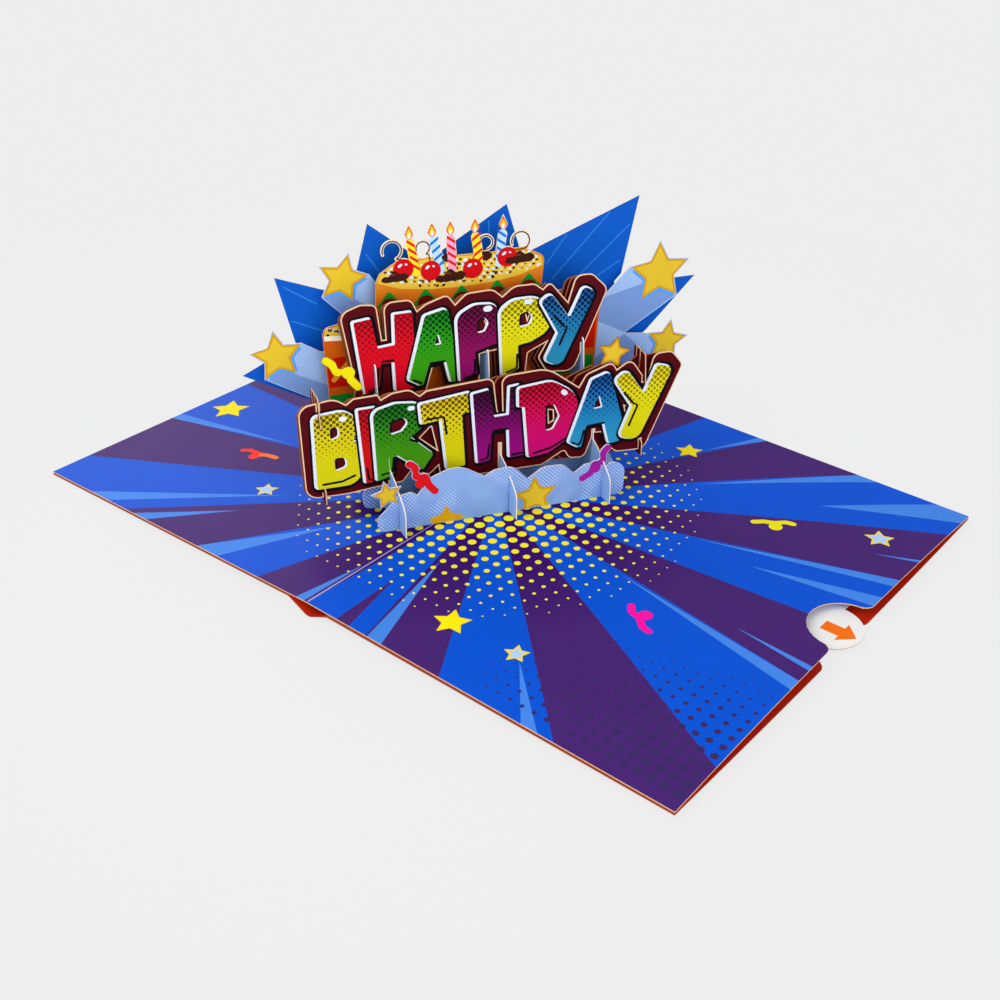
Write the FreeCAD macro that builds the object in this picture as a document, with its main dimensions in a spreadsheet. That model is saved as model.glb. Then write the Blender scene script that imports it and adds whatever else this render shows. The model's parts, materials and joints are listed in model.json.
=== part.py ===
import FreeCAD, Part
import math
import os

# Pop-up birthday card, opened flat, in millimetres.
# X runs across the fold to the right leaf, Y along the fold, Z up; the origin is on the
# floor under the middle of the fold.
# The cut paper layers stand across the fold: u runs along a layer, v from the front
# layer to the back one, and heights are measured from the deck, the top of the inner sheet.

Vec = FreeCAD.Vector

# Driving sizes: name, value, what it is.
SIZES = [
    ("leaf_width", 127.0, "width of one leaf, from the fold to its outer edge"),
    ("fold_length", 171.5, "length of the card along the fold"),
    ("sheet_thickness", 0.35, "card stock of the inner sheet and the layers"),
    ("cover_thickness", 0.4, "card stock of the folded cover"),
    ("glue_gap", 0.04, "room between two faces that are glued or only lie together"),
    ("deck_height", 5.0, "top of the inner sheet over the floor, at the fold"),
    ("mouth_height", 2.5, "top of the inner sheet at the corners of the right leaf"),
    ("mouth_bow", 2.7, "how far the inner sheet arches up between these corners"),
    ("pocket_gap", 0.8, "room inside the pocket, over the flaps included, by the spine"),
    ("spine_half", 8.0, "half the width of the cover's folded spine"),
    ("spine_flat", 0.8, "half the width of the flat under the spine"),
    ("flap_width", 12.0, "width of the cover's turned-in flaps"),
    ("notch_offset", 3.5, "middle of the thumb notch along the fold"),
    ("notch_radius", 11.2, "half the width of the thumb notch, and the radius of its round end"),
    ("notch_depth", 12.7, "depth of the thumb notch"),
    ("notch_shift", 2.3, "how far the cover's notch lies towards the front of the sheet's"),
    ("notch_corner", 3.0, "rounding of the notch's corners"),
    ("note_length", 108.0, "length of the pull-out note card along its slide"),
    ("note_clearance", 3.75, "room between the note card's side and the flap beside it"),
    ("note_width", "=fold_length - 2 * flap_width - 2 * note_clearance",
     "width of the pull-out note card, between the cover's flaps"),
    ("note_inset", 7.0, "how far the note card's edge lies inside the mouth"),
    ("tab_radius", 10.4, "radius of the note card's round pull tab"),
    ("layer_angle", 57.0, "direction of the standing layers, from X"),
    ("cross_angle", 154.0, "direction of the slices that cross them, from X"),
    ("front_depth", 16.85, "front layer, ahead of the middle of the stack"),
    ("layer_pitch", 2.45, "distance from one place for a layer to the next"),
    ("slot_gap", 0.12, "room in a slot beside the sheet that passes through it"),
    ("foot_gap", 0.06, "room between a layer's foot and the deck"),
    ("tab_drop", 0.6, "how far a foot tab reaches through the deck"),
    ("tab_width", 6.0, "width of a foot tab"),
    ("slice_left", -39.0, "left cross slice, where it passes the middle depth"),
    ("slice_middle", -3.1, "middle cross slice, at the middle depth"),
    ("slice_right", 28.5, "right cross slice, at the middle depth"),
    ("link_left", -59.9, "left tie of the lower banner, at the middle depth"),
    ("link_right", 45.0, "right tie of the lower banner, at the middle depth"),
    ("shrink_middle", 0.972, "length of the middle banner layer against the front one"),
    ("shrink_back", 0.95, "length of the back banner layer against the front one"),
    ("banner_drop", 1.25, "how much lower each banner layer stands than the one before it"),
]

doc = FreeCAD.newDocument("PopUpCard")
table = doc.addObject("Spreadsheet::Sheet", "Sizes")
for row, (alias, value, meaning) in enumerate(SIZES, start=1):
    table.set("A%d" % row, alias)
    table.set("B%d" % row, str(value))
    table.set("C%d" % row, meaning)
    table.setAlias("B%d" % row, alias)
doc.recompute()


def size(alias):
    """The value of one cell of the sheet."""
    return float(table.get(alias))


LAYER = math.radians(size("layer_angle"))
CROSS = math.radians(size("cross_angle"))
SKEW = CROSS - LAYER - math.pi / 2
DECK = size("deck_height")
PAPER = size("sheet_thickness")
COVER = size("cover_thickness")
SLOT = PAPER + 2 * size("slot_gap")
U_AXIS = Vec(math.cos(LAYER), math.sin(LAYER), 0)
V_AXIS = Vec(-math.sin(LAYER), math.cos(LAYER), 0)
C_AXIS = Vec(math.cos(CROSS), math.sin(CROSS), 0)


def depth(place):
    """Depth v of a place in the stack; place 0 is the front layer."""
    return -size("front_depth") + place * size("layer_pitch")


# Outlines

SHARP = 0.85


def star(centre_u, centre_z, radius, turn, inner=0.5):
    """Corner points of a five-pointed star, first tip at the angle turn."""
    points = []
    for index in range(10):
        reach = radius if index % 2 == 0 else radius * inner
        angle = math.radians(turn - 36.0 * index)
        points.append((centre_u + reach * math.cos(angle),
                       centre_z + reach * math.sin(angle), 0.0))
    return points


def ribbon(path, width):
    """Corner points of a band with round ends along a path of (u, z) points."""
    half = width / 2
    sides = []
    for index, (u, z) in enumerate(path):
        before = path[max(index - 1, 0)]
        after = path[min(index + 1, len(path) - 1)]
        run = math.hypot(after[0] - before[0], after[1] - before[1])
        across = (-(after[1] - before[1]) / run * half, (after[0] - before[0]) / run * half)
        rounding = half * 0.98 if index in (0, len(path) - 1) else width
        sides.append(((u + across[0], z + across[1], rounding),
                      (u - across[0], z - across[1], rounding)))
    return [left for left, right in sides] + [right for left, right in reversed(sides)]


def circle(centre_u, centre_z, radius):
    """A full circle as a closed outline."""
    return [Part.Circle(Vec(centre_u, centre_z, 0), Vec(0, 0, 1), radius)]


def curl(centre_u, centre_z, radius, first, last, width):
    """A curled band with round ends between two angles in degrees."""
    def at(reach, degrees):
        angle = math.radians(degrees)
        return Vec(centre_u + reach * math.cos(angle), centre_z + reach * math.sin(angle), 0)
    outer = radius + width / 2
    inner = radius - width / 2
    half = (first + last) / 2
    cap = math.degrees(width / 2 / radius)
    return [Part.Arc(at(outer, first), at(outer, half), at(outer, last)),
            Part.Arc(at(outer, last), at(radius, last + cap), at(inner, last)),
            Part.Arc(at(inner, last), at(inner, half), at(inner, first)),
            Part.Arc(at(inner, first), at(radius, first - cap), at(outer, first))]


def rounded(points):
    """Lines and tangent arcs through corner points (x, y, radius); tiny radii stay sharp."""
    count = len(points)
    corners = [Vec(x, y, 0) for x, y, radius in points]
    stations = []
    for index, (x, y, radius) in enumerate(points):
        here = corners[index]
        back = corners[index - 1] - here
        ahead = corners[(index + 1) % count] - here
        room = 0.499 * min(back.Length, ahead.Length)
        back.normalize()
        ahead.normalize()
        half = math.acos(max(-1.0, min(1.0, back.dot(ahead)))) / 2
        reach = min(radius / math.tan(half), room) if half < 1.56 else 0.0
        if radius < SHARP or reach < 0.02:
            stations.append((here, None, here))
            continue
        bisector = back + ahead
        bisector.normalize()
        arm = reach * math.tan(half)
        middle = here + bisector * (arm / math.sin(half) - arm)
        stations.append((here + back * reach, middle, here + ahead * reach))
    edges = []
    for index, (start, middle, end) in enumerate(stations):
        if middle is not None:
            edges.append(Part.Arc(start, middle, end))
        nearest = stations[(index + 1) % count][0]
        if (nearest - end).Length > 1e-6:
            edges.append(Part.LineSegment(end, nearest))
    return edges


def foot_tab(centre):
    """The four corners of a tab under a layer, met from right to left."""
    half = size("tab_width") / 2
    low = -size("tab_drop")
    return [(centre + half, 0.0, 0.0), (centre + half, low, 0.0),
            (centre - half, low, 0.0), (centre - half, 0.0, 0.0)]


# Bodies made of sheet


def plane_of(body, role):
    """One of the body's own origin planes."""
    return [item for item in body.Origin.OriginFeatures if item.Role == role][0]


def sketch_on(body, name, role, outlines, offset=None):
    """A sketch of closed outlines, each a list of edges."""
    sketch = body.newObject("Sketcher::SketchObject", name)
    sketch.AttachmentSupport = [(plane_of(body, role), "")]
    sketch.MapMode = "FlatFace"
    if offset is not None:
        sketch.AttachmentOffset = offset
    for edges in outlines:
        sketch.addGeometry(edges, False)
    return sketch


def sheet_body(label, groups, holes=()):
    """A flat cut sheet from groups of outlines; the outlines in one group don't touch."""
    body = doc.addObject("PartDesign::Body", label)
    body.Label = label
    for index, outlines in enumerate(groups):
        sketch = sketch_on(body, "%s_outline_%d" % (label, index), "XY_Plane", outlines)
        pad = body.newObject("PartDesign::Pad", "%s_pad_%d" % (label, index))
        pad.Profile = sketch
        pad.setExpression("Length", "Sizes.sheet_thickness")
        doc.recompute()
    if holes:
        cut_through(body, "%s_holes" % label, holes)
    return body


def cut_through(body, name, outlines, role="XY_Plane"):
    """Cuts closed outlines right through a body, both ways from the plane."""
    before = body.Shape.Volume
    sketch = sketch_on(body, name + "_sketch", role, outlines)
    pocket = body.newObject("PartDesign::Pocket", name)
    pocket.Profile = sketch
    pocket.Type = "ThroughAll"
    pocket.SideType = "Symmetric"
    doc.recompute()
    if body.Shape.Volume >= before:
        raise RuntimeError(name + " cuts nothing")


def stand(body, angle, along, expression_x, expression_y):
    """Stands a flat body upright on the deck, its first axis turned to an angle."""
    turn = FreeCAD.Rotation(Vec(0, 0, 1), angle) * FreeCAD.Rotation(Vec(1, 0, 0), 90)
    body.Placement = FreeCAD.Placement(along, turn)
    body.setExpression("Placement.Base.x", expression_x)
    body.setExpression("Placement.Base.y", expression_y)
    body.setExpression("Placement.Base.z", "Sizes.deck_height + Sizes.foot_gap")


def place_layer(body, place):
    """Stands a layer at its place in the stack, middle of its thickness on the plane."""
    back = "(%s * Sizes.layer_pitch - Sizes.front_depth + Sizes.sheet_thickness / 2)" % place
    stand(body, size("layer_angle"), V_AXIS * (depth(place) + PAPER / 2),
          "-sin(Sizes.layer_angle) * " + back, "cos(Sizes.layer_angle) * " + back)


def place_slice(body, alias):
    """Stands a cross slice where its cell says that it passes the middle depth."""
    start = "Sizes.%s * %s(Sizes.layer_angle) %s Sizes.sheet_thickness / 2 * %s(Sizes.cross_angle)"
    stand(body, size("cross_angle"), U_AXIS * size(alias),
          start % (alias, "cos", "-", "sin"), start % (alias, "sin", "+", "cos"))


def slice_crossing(alias, place):
    """Where a slice passes a layer: u on the layer and the run s on the slice."""
    run = depth(place) / math.cos(SKEW)
    return size(alias) - run * math.sin(SKEW), run


def rectangle(x_low, x_high, y_low, y_high):
    """Four straight edges of an upright rectangle."""
    corners = [Vec(x_low, y_low, 0), Vec(x_high, y_low, 0),
               Vec(x_high, y_high, 0), Vec(x_low, y_high, 0)]
    return [Part.LineSegment(corners[i], corners[(i + 1) % 4]) for i in range(4)]


def span_at(points, x):
    """Lowest and highest point of an outline on the upright line at x."""
    heights = []
    for (x1, y1, r1), (x2, y2, r2) in zip(points, points[1:] + points[:1]):
        if (x1 - x) * (x2 - x) <= 0 and abs(x2 - x1) > 1e-9:
            heights.append(y1 + (y2 - y1) * (x - x1) / (x2 - x1))
    return (min(heights), max(heights)) if heights else None


# Shapes of the layers, as (u, z over the deck, corner radius)

CLOUD_FRONT = ([(-38.0, 0.0, 0.5), (-43.8, 0.0, 2.5), (-44.2, 5.0, 3.0), (-40.5, 8.5, 3.0),
                (-37.5, 12.2, 1.5), (-33.0, 13.0, 1.5), (-31.0, 11.6, 0.4), (-27.0, 17.0, 6.0),
                (-18.0, 20.2, 9.0), (-9.1, 14.6, 0.4), (-6.0, 16.4, 4.0), (0.0, 16.6, 4.0),
                (5.1, 11.2, 0.4), (10.0, 14.6, 5.0), (17.0, 14.4, 4.0), (20.7, 10.6, 0.4),
                (25.0, 13.8, 3.0), (31.0, 10.6, 0.6), (33.5, 12.8, 3.0), (38.3, 10.5, 4.0),
                (38.0, 0.0, 3.0)]
               + foot_tab(24.0) + foot_tab(-20.0))
CLOUD_MIDDLE = ([(-41.0, 0.0, 2.0), (-45.6, 0.5, 3.0), (-45.5, 7.5, 4.0), (-39.0, 9.6, 3.0),
                 (-36.0, 10.4, 0.4), (-32.4, 11.2, 2.0), (-27.0, 11.6, 3.0), (-23.3, 9.6, 0.4),
                 (-17.0, 14.0, 6.0), (-6.0, 11.0, 2.0), (6.9, 5.8, 0.4), (10.0, 11.0, 4.0),
                 (20.0, 11.2, 3.0), (25.1, 7.1, 0.4), (30.0, 10.4, 4.0), (37.0, 9.0, 3.0),
                 (40.6, 3.6, 2.5), (38.0, 0.0, 1.0)]
                + foot_tab(15.0) + foot_tab(-27.0))
CLOUD_REAR = ([(-40.0, 0.0, 2.0), (-47.5, 1.0, 3.0), (-47.0, 9.5, 4.0), (-40.5, 10.8, 0.5),
               (-34.0, 14.5, 5.0), (-24.0, 12.0, 0.5), (-14.0, 18.0, 6.0), (-2.0, 12.0, 0.5),
               (8.0, 16.0, 6.0), (19.0, 11.0, 0.5), (29.0, 15.0, 5.0), (37.5, 10.0, 3.0),
               (42.0, 7.5, 3.0), (42.5, 0.0, 2.0)]
              + foot_tab(33.0) + foot_tab(-8.0))
BIRTHDAY = [(-64.4, 11.6, 4.0), (-64.8, 43.4, 4.0), (-53.7, 44.9, 7.0), (-50.2, 42.4, 0.5),
            (-47.9, 44.1, 1.5), (-40.3, 44.3, 1.2), (-39.5, 42.5, 0.4), (-36.0, 44.2, 4.0),
            (-30.5, 44.6, 3.0), (-27.5, 42.0, 0.4), (-25.3, 43.4, 1.5), (-4.0, 44.7, 2.5),
            (-2.7, 32.3, 0.6), (-1.1, 32.3, 0.6), (-1.4, 44.8, 3.0), (13.8, 45.4, 10.0),
            (24.2, 37.3, 0.4), (26.6, 41.5, 3.0), (35.2, 44.4, 2.0), (36.9, 41.6, 0.4),
            (41.6, 44.7, 2.5), (47.3, 36.2, 0.5), (49.4, 45.6, 3.0), (55.6, 45.6, 3.0),
            (59.6, 40.4, 2.5), (47.8, 11.2, 3.5), (38.0, 11.6, 3.0), (35.6, 13.6, 2.0),
            (32.4, 19.8, 0.7), (29.8, 20.0, 0.7), (26.8, 11.4, 2.5), (21.4, 12.0, 2.5),
            (19.8, 15.3, 1.0), (12.2, 11.0, 4.0), (-16.0, 11.2, 2.5), (-21.6, 12.2, 2.0),
            (-22.2, 16.6, 0.6), (-25.6, 13.6, 2.0), (-30.6, 16.8, 0.7), (-33.8, 12.8, 1.5),
            (-43.0, 12.2, 1.0), (-51.6, 11.4, 6.0)]
BIRTHDAY_HOLES = [[(-27.9, 27.4, 0.5), (-22.6, 22.6, 0.4), (-24.2, 31.0, 0.5)],
                  [(14.1, 30.8, 0.4), (15.6, 30.4, 0.5), (15.8, 26.8, 0.5), (14.4, 26.2, 0.4)],
                  [(40.1, 28.2, 0.2), (42.1, 27.4, 0.2), (40.8, 25.2, 0.2)]]
HAPPY = [(-44.0, 35.5, 2.0), (-48.8, 67.4, 3.5), (-42.3, 69.6, 4.0), (-37.5, 69.0, 2.0),
         (-36.2, 57.4, 0.5), (-35.1, 57.4, 0.5), (-35.4, 69.4, 3.0), (-26.8, 69.4, 2.5),
         (-25.0, 65.5, 0.4), (-22.2, 67.4, 3.0), (-15.5, 69.6, 2.0), (-13.1, 66.1, 0.4),
         (-9.6, 69.3, 4.0), (-1.0, 69.6, 4.0), (1.9, 66.8, 0.4), (5.6, 69.8, 5.0),
         (12.4, 69.8, 3.0), (15.0, 67.6, 0.4), (17.3, 69.8, 2.0), (23.3, 62.4, 0.5),
         (25.8, 70.9, 3.0), (31.2, 70.9, 3.0), (36.6, 65.4, 3.0), (25.6, 38.2, 4.0),
         (16.6, 39.2, 3.5), (13.6, 44.6, 2.0), (16.4, 49.6, 0.8), (10.3, 46.8, 1.0),
         (9.1, 35.5, 1.5), (1.2, 35.5, 1.5), (0.3, 49.2, 0.7), (-5.5, 48.6, 0.7),
         (-5.7, 35.5, 1.5), (-14.2, 35.5, 1.5), (-17.0, 47.0, 0.7), (-20.5, 46.8, 0.7),
         (-23.8, 35.5, 1.5)]
HAPPY_HOLES = [[(-3.6, 59.4, 0.4), (-2.4, 59.6, 0.4), (-3.0, 57.6, 0.4)],
               [(9.6, 60.4, 0.4), (10.8, 60.6, 0.4), (10.0, 58.4, 0.4)]]
CAKE_TOP = 79.0
CAKE = [(-52.0, 24.0, 1.0), (-53.0, 58.2, 2.0), (-52.0, 60.2, 2.0), (-47.0, 61.2, 2.0),
        (-36.4, 62.0, 0.5), (-35.7, CAKE_TOP - 6.0, 1.0), (-34.6, CAKE_TOP - 3.6, 2.0),
        (-30.0, CAKE_TOP - 0.6, 3.0), (-20.0, CAKE_TOP, 4.0), (12.0, CAKE_TOP - 0.6, 3.0),
        (17.9, CAKE_TOP - 3.4, 2.5), (16.8, 63.4, 0.5),
        (36.0, 63.4, 2.0), (37.0, 58.0, 1.0), (35.0, 24.0, 1.0)]
TRAILS = [(-46.0, 28.0, 1.0), (-70.6, 43.0, 0.3), (-61.0, 50.5, 0.3), (-59.0, 54.2, 0.3),
          (-52.2, 49.8, 1.0), (-45.4, 61.5, 1.0), (-51.4, 67.8, 0.3), (-46.0, 75.0, 0.3),
          (-36.6, 73.9, 0.3), (-34.3, 70.4, 0.3), (-34.0, 60.0, 1.0), (30.0, 60.0, 1.0),
          (39.4, 56.4, 1.0), (48.9, 66.4, 0.3), (60.0, 62.0, 0.3), (65.9, 54.5, 0.3),
          (48.0, 43.2, 0.5), (55.5, 42.2, 0.3), (63.0, 39.0, 0.3), (58.4, 33.0, 0.3),
          (44.0, 28.0, 1.0)]
BURST = [(-46.0, 26.0, 1.0), (-77.4, 43.6, 0.8), (-60.0, 52.0, 0.5), (-64.8, 74.4, 0.8),
         (-42.0, 65.6, 0.5), (-35.6, 88.2, 0.8), (-18.0, 74.0, 0.5), (8.4, 90.0, 0.8),
         (13.4, 72.8, 0.5), (52.6, 88.4, 0.8), (47.6, 62.6, 1.0), (44.0, 58.8, 1.0),
         (74.0, 59.0, 0.8), (57.7, 41.4, 2.0), (40.0, 26.0, 1.0)]

CANDLES = [(-24.9, -22.3), (-17.9, -15.0), (-12.2, -11.6), (-4.5, -2.9), (4.5, 3.0)]
CANDLE_LENGTH = 9.3
CANDLE_SEAT = 3.0
CANDLE_FOOT = CAKE_TOP - CANDLE_SEAT
CANDLE_TOP = CANDLE_FOOT + CANDLE_LENGTH
CANDLE_WIDTH = 2.9
FLAME = [(0.0, -0.6, 0.6), (-1.5, 1.6, 1.1), (0.0, 4.8, 0.2), (1.5, 1.6, 1.1)]
CHERRIES = [(-27.1, CAKE_TOP - 2.7), (-18.6, CAKE_TOP - 4.2), (-5.3, CAKE_TOP - 5.0),
            (5.7, CAKE_TOP - 2.5)]
CHERRY_RADIUS = 3.4
STEMS = [(-30.4, CAKE_TOP + 3.4, 3.0), (-20.9, CAKE_TOP + 3.2, 2.1),
         (-1.2, CAKE_TOP + 2.8, 2.3), (10.0, CAKE_TOP + 2.2, 2.9)]
STEM_WIDTH = 0.95
CONFETTI_RED = [(-34.2, 23.6), (-31.0, 21.4), (-31.8, 17.6), (-28.2, 18.2), (-27.4, 14.6),
                (-24.6, 11.2)]
CONFETTI_PURPLE = [(32.8, 18.8), (30.2, 16.4), (31.0, 12.6), (27.4, 13.2), (26.6, 9.6),
                   (22.6, 7.6)]
CONFETTI_YELLOW = [(-55.4, 56.0), (-52.6, 53.6), (-51.6, 50.4), (-48.2, 51.6), (-47.4, 48.0),
                   (-44.6, 44.4)]
STALK = [(-45.0, 44.6), (-46.2, 36.0)]
CONFETTI_WIDTH = 2.8


def squeezed(points, factor, steps):
    """An outline shortened towards its left end and lowered, with only wide roundings kept."""
    left = min(u for u, z, radius in points)
    drop = steps * size("banner_drop")
    return [(left + (u - left) * factor, z - drop, radius if radius > 2.4 else 0.0)
            for u, z, radius in points]


def cake_extras():
    """Candles with their flames, cherries and curled stems on the cake's top edge."""
    candles = [rounded(ribbon([(foot, CANDLE_FOOT), (top, CANDLE_TOP)], CANDLE_WIDTH))
               for top, foot in CANDLES]
    flames = [rounded([(top + u, CANDLE_TOP + z, radius) for u, z, radius in FLAME])
              for top, foot in CANDLES]
    cherries = [circle(u, z, CHERRY_RADIUS) for u, z in CHERRIES]
    stalks = []
    curls = []
    for (ring_u, ring_z, radius), (cherry_u, cherry_z) in zip(STEMS, CHERRIES):
        low = (ring_u + radius * math.cos(math.radians(-60)),
               ring_z + radius * math.sin(math.radians(-60)))
        stalks.append(rounded(ribbon([(cherry_u, cherry_z + 2.0), low], STEM_WIDTH)))
        curls.append(curl(ring_u, ring_z, radius, -65.0, 200.0, STEM_WIDTH))
    return [candles, flames, cherries, stalks, curls]


def ribbons(*paths):
    """One group of confetti bands."""
    return [rounded(ribbon(path, CONFETTI_WIDTH)) for path in paths]


# Shapes of the slices, as (run s from the middle depth, z over the deck, corner radius)

SLICE_FEET = {"slice_left": -19.6, "slice_middle": 9.0, "slice_right": 12.0}


def slice_outline(alias):
    """A cross slice: rounded nose in front, steps up under the banners and the cake."""
    nose = -size("front_depth") - 5.6
    lower = depth(3) - 0.3
    return ([(nose, 0.0, 0.3), (nose - 0.3, 9.0, 5.0), (depth(1), 15.6, 3.0),
             (lower, 17.6, 0.6), (lower, 31.5, 1.0), (depth(6), 33.0, 1.0),
             (depth(7) - 1.2, 50.0, 2.0), (depth(9) + 3.0, 50.0, 2.0),
             (depth(12), 44.0, 2.0), (depth(13.75) + 2.0, 40.0, 2.0),
             (depth(13.75) + 2.0, 0.0, 1.0)]
            + foot_tab(SLICE_FEET[alias]))


def link_outline():
    """A tie at the end of the lower banner, with fingers over and under the front layer."""
    front = depth(3)
    behind = front + SLOT / 2 + 0.02
    nose = front - 1.7
    rear = depth(5) + 1.6
    return [(behind, 9.6, 0.3), (nose, 9.6, 0.5), (nose, 14.6, 1.0), (behind, 15.2, 0.0),
            (behind, 36.4, 0.0), (nose, 36.0, 0.8), (front - 0.6, 45.8, 1.0),
            (rear, 46.6, 1.0), (rear, 9.6, 1.0)]


SMALL_STAR = rounded(star(36.4, 46.3, 5.9, 76))
FLOOR_STAR = rounded(star(-40.6, 13.2, 5.2, 100))
BIG_STARS = [rounded(star(*place)) for place in
             ((-66.6, 50.6, 8.8, 95), (-44.9, 73.4, 8.5, 74), (59.3, 63.2, 11.0, 92),
              (63.4, 38.3, 7.9, 80))]

# Each layer: name, place in the stack, main outline, groups added to it, holes.
LAYERS = [
    ("cloud_strip_front", 0, CLOUD_FRONT,
     [[FLOOR_STAR], ribbons(CONFETTI_RED, CONFETTI_PURPLE)], []),
    ("birthday_plate_front", 3, BIRTHDAY, [], [rounded(hole) for hole in BIRTHDAY_HOLES]),
    ("birthday_plate_middle", 4, squeezed(BIRTHDAY, size("shrink_middle"), 1),
     [[SMALL_STAR]], []),
    ("birthday_plate_back", 5, squeezed(BIRTHDAY, size("shrink_back"), 2),
     [ribbons(CONFETTI_YELLOW), ribbons(STALK)], []),
    ("cloud_strip_middle", 6, CLOUD_MIDDLE, [], []),
    ("happy_plate_front", 7, HAPPY, [], [rounded(hole) for hole in HAPPY_HOLES]),
    ("happy_plate_middle", 8, squeezed(HAPPY, 0.99, 1), [], []),
    ("happy_plate_back", 9, squeezed(HAPPY, 0.98, 2), [], []),
    ("cake_plate", 10, CAKE, cake_extras(), []),
    ("cloud_strip_rear", 11, CLOUD_REAR, [], []),
    ("star_trail_plate", 12, TRAILS, [BIG_STARS], []),
    ("burst_plate", 13.75, BURST, [], []),
]
SLICES = [("cross_slice_left", "slice_left"), ("cross_slice_middle", "slice_middle"),
          ("cross_slice_right", "slice_right")]
LINKS = [("banner_tie_left", "link_left"), ("banner_tie_right", "link_right")]
LINKED = ("birthday_plate_front", "birthday_plate_middle", "birthday_plate_back")


def lap(layer_points, slice_points, alias, place):
    """Where two crossing sheets share their height: u, s and the height of the joint."""
    across, run = slice_crossing(alias, place)
    layer_span = span_at(layer_points, across)
    slice_span = span_at(slice_points, run)
    if layer_span is None or slice_span is None:
        return None
    low = max(layer_span[0], slice_span[0], 0.0)
    high = min(layer_span[1], slice_span[1])
    if high - low < 0.5:
        return None
    return across, run, (low + high) / 2


layer_slots = {layer[0]: [] for layer in LAYERS}
slice_slots = {name: [] for name, alias in SLICES + LINKS}
FAR = 200.0
for name, place, points, extras, holes in LAYERS:
    for slice_name, alias in SLICES:
        joint = lap(points, slice_outline(alias), alias, place)
        if joint is None:
            continue
        across, run, height = joint
        wide = SLOT / math.cos(SKEW) + PAPER * math.tan(SKEW)
        layer_slots[name].append((across - wide / 2, across + wide / 2, -FAR, height))
        slice_slots[slice_name].append((run - wide / 2, run + wide / 2, height, FAR))
    if name not in LINKED:
        continue
    for link_name, alias in LINKS:
        across, run = slice_crossing(alias, place)
        wide = SLOT / math.cos(SKEW) + PAPER * math.tan(SKEW)
        if name == "birthday_plate_front":
            layer_slots[name].append((across - wide / 2, across + wide / 2, -FAR, 15.2))
            layer_slots[name].append((across - wide / 2, across + wide / 2, 36.0, FAR))
            slice_slots[link_name].append((run - wide / 2, run + wide / 2, 14.8, 36.4))
        else:
            layer_slots[name].append((across - wide / 2, across + wide / 2, -FAR, 27.0))
            slice_slots[link_name].append((run - wide / 2, run + wide / 2, 27.0, FAR))


def make_layer(name, place, points, extras, holes):
    """One standing layer with the slots that its slices pass through."""
    body = sheet_body(name, [[rounded(points)]] + extras, holes)
    slots = layer_slots[name]
    if slots:
        cut_through(body, name + "_slots", [rectangle(*slot) for slot in slots])
    place_layer(body, place)
    return body


def make_slice(name, alias, points):
    """One cross slice or tie with its slots."""
    body = sheet_body(name, [[rounded(points)]])
    cut_through(body, name + "_slots", [rectangle(*slot) for slot in slice_slots[name]])
    place_slice(body, alias)
    return body


# Inner sheet, cover and note card


def mouth_top(y, level, bow):
    """Height on the arched edge of the right leaf at a place along it."""
    share = 2 * y / size("fold_length")
    return level + bow * (1 - share * share)


def bowed_edge(x, y_from, y_to, level, bow):
    """An edge across the leaf at x, straight where there is no bow, else an arc."""
    ends = [Vec(x, y, mouth_top(y, level, bow)) for y in (y_from, (y_from + y_to) / 2, y_to)]
    if bow < 1e-6 and bow > -1e-6:
        return Part.LineSegment(ends[0], ends[2]).toShape()
    return Part.Arc(*ends).toShape()


def closed_section(runs):
    """A closed wire from bowed runs (x, y_from, y_to, level, bow), joined by uprights."""
    edges = [bowed_edge(*run) for run in runs]
    wire = []
    for index, edge in enumerate(edges):
        wire.append(edge)
        start = edge.lastVertex(True).Point
        end = edges[(index + 1) % len(edges)].firstVertex(True).Point
        if (end - start).Length > 1e-6:
            wire.append(Part.LineSegment(start, end).toShape())
    return Part.Wire(wire)


def sheet_section(x, level, bow):
    """Section of the inner sheet across the leaf at x."""
    half = size("fold_length") / 2
    return closed_section([(x, -half, half, level - PAPER, bow), (x, half, -half, level, bow)])


def cover_section(x, level, bow, low_level, low_bow):
    """Section of the cover at x: a panel below and a turned-in flap at each end."""
    half = size("fold_length") / 2
    inner = half - size("flap_width")
    fold = half - COVER
    return closed_section([
        (x, -half, half, low_level, low_bow),
        (x, half, inner, level, bow),
        (x, inner, fold, level - COVER, bow),
        (x, fold, -fold, low_level + COVER, low_bow),
        (x, -fold, -inner, level - COVER, bow),
        (x, -inner, -half, level, bow),
    ])


def share(value_in, value_out, part):
    """A value part of the way from the fold to the outer edge."""
    return value_in + (value_out - value_in) * part


GLUE = size("glue_gap")
LEAF = size("leaf_width")
LEFT_EDGE = 2 * COVER + 2 * GLUE + PAPER
SPINE = size("spine_half")
SPINE_PART = SPINE / LEAF


def arc_points(x, y, radius, first, last, steps):
    """Points along an arc between two angles in degrees."""
    angles = [math.radians(first + (last - first) * step / steps) for step in range(steps + 1)]
    return [(x + radius * math.cos(angle), y + radius * math.sin(angle)) for angle in angles]


def notch_cut(shift, low, high):
    """The block that cuts the thumb notch, its round walls in short flats."""
    middle = size("notch_offset") - shift
    half = size("notch_radius")
    side = size("notch_corner")
    inner = LEAF - size("notch_depth") + half
    # The shoulders stand just outside the sheet, so that no two faces share a plane.
    mouth = LEAF + 0.013
    beyond = LEAF + 30
    outline = [(beyond, middle - half - side)]
    outline += arc_points(mouth - side, middle - half - side, side, 0.0, 90.0, 4)
    outline += arc_points(inner, middle, half, 269.0, 91.0, 15)
    outline += arc_points(mouth - side, middle + half + side, side, 270.0, 360.0, 4)
    outline += [(beyond, middle + half + side)]
    corners = [Vec(x, y, low) for x, y in outline]
    face = Part.Face(Part.makePolygon(corners + corners[:1]))
    return [face.extrude(Vec(0, 0, high - low))]


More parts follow.
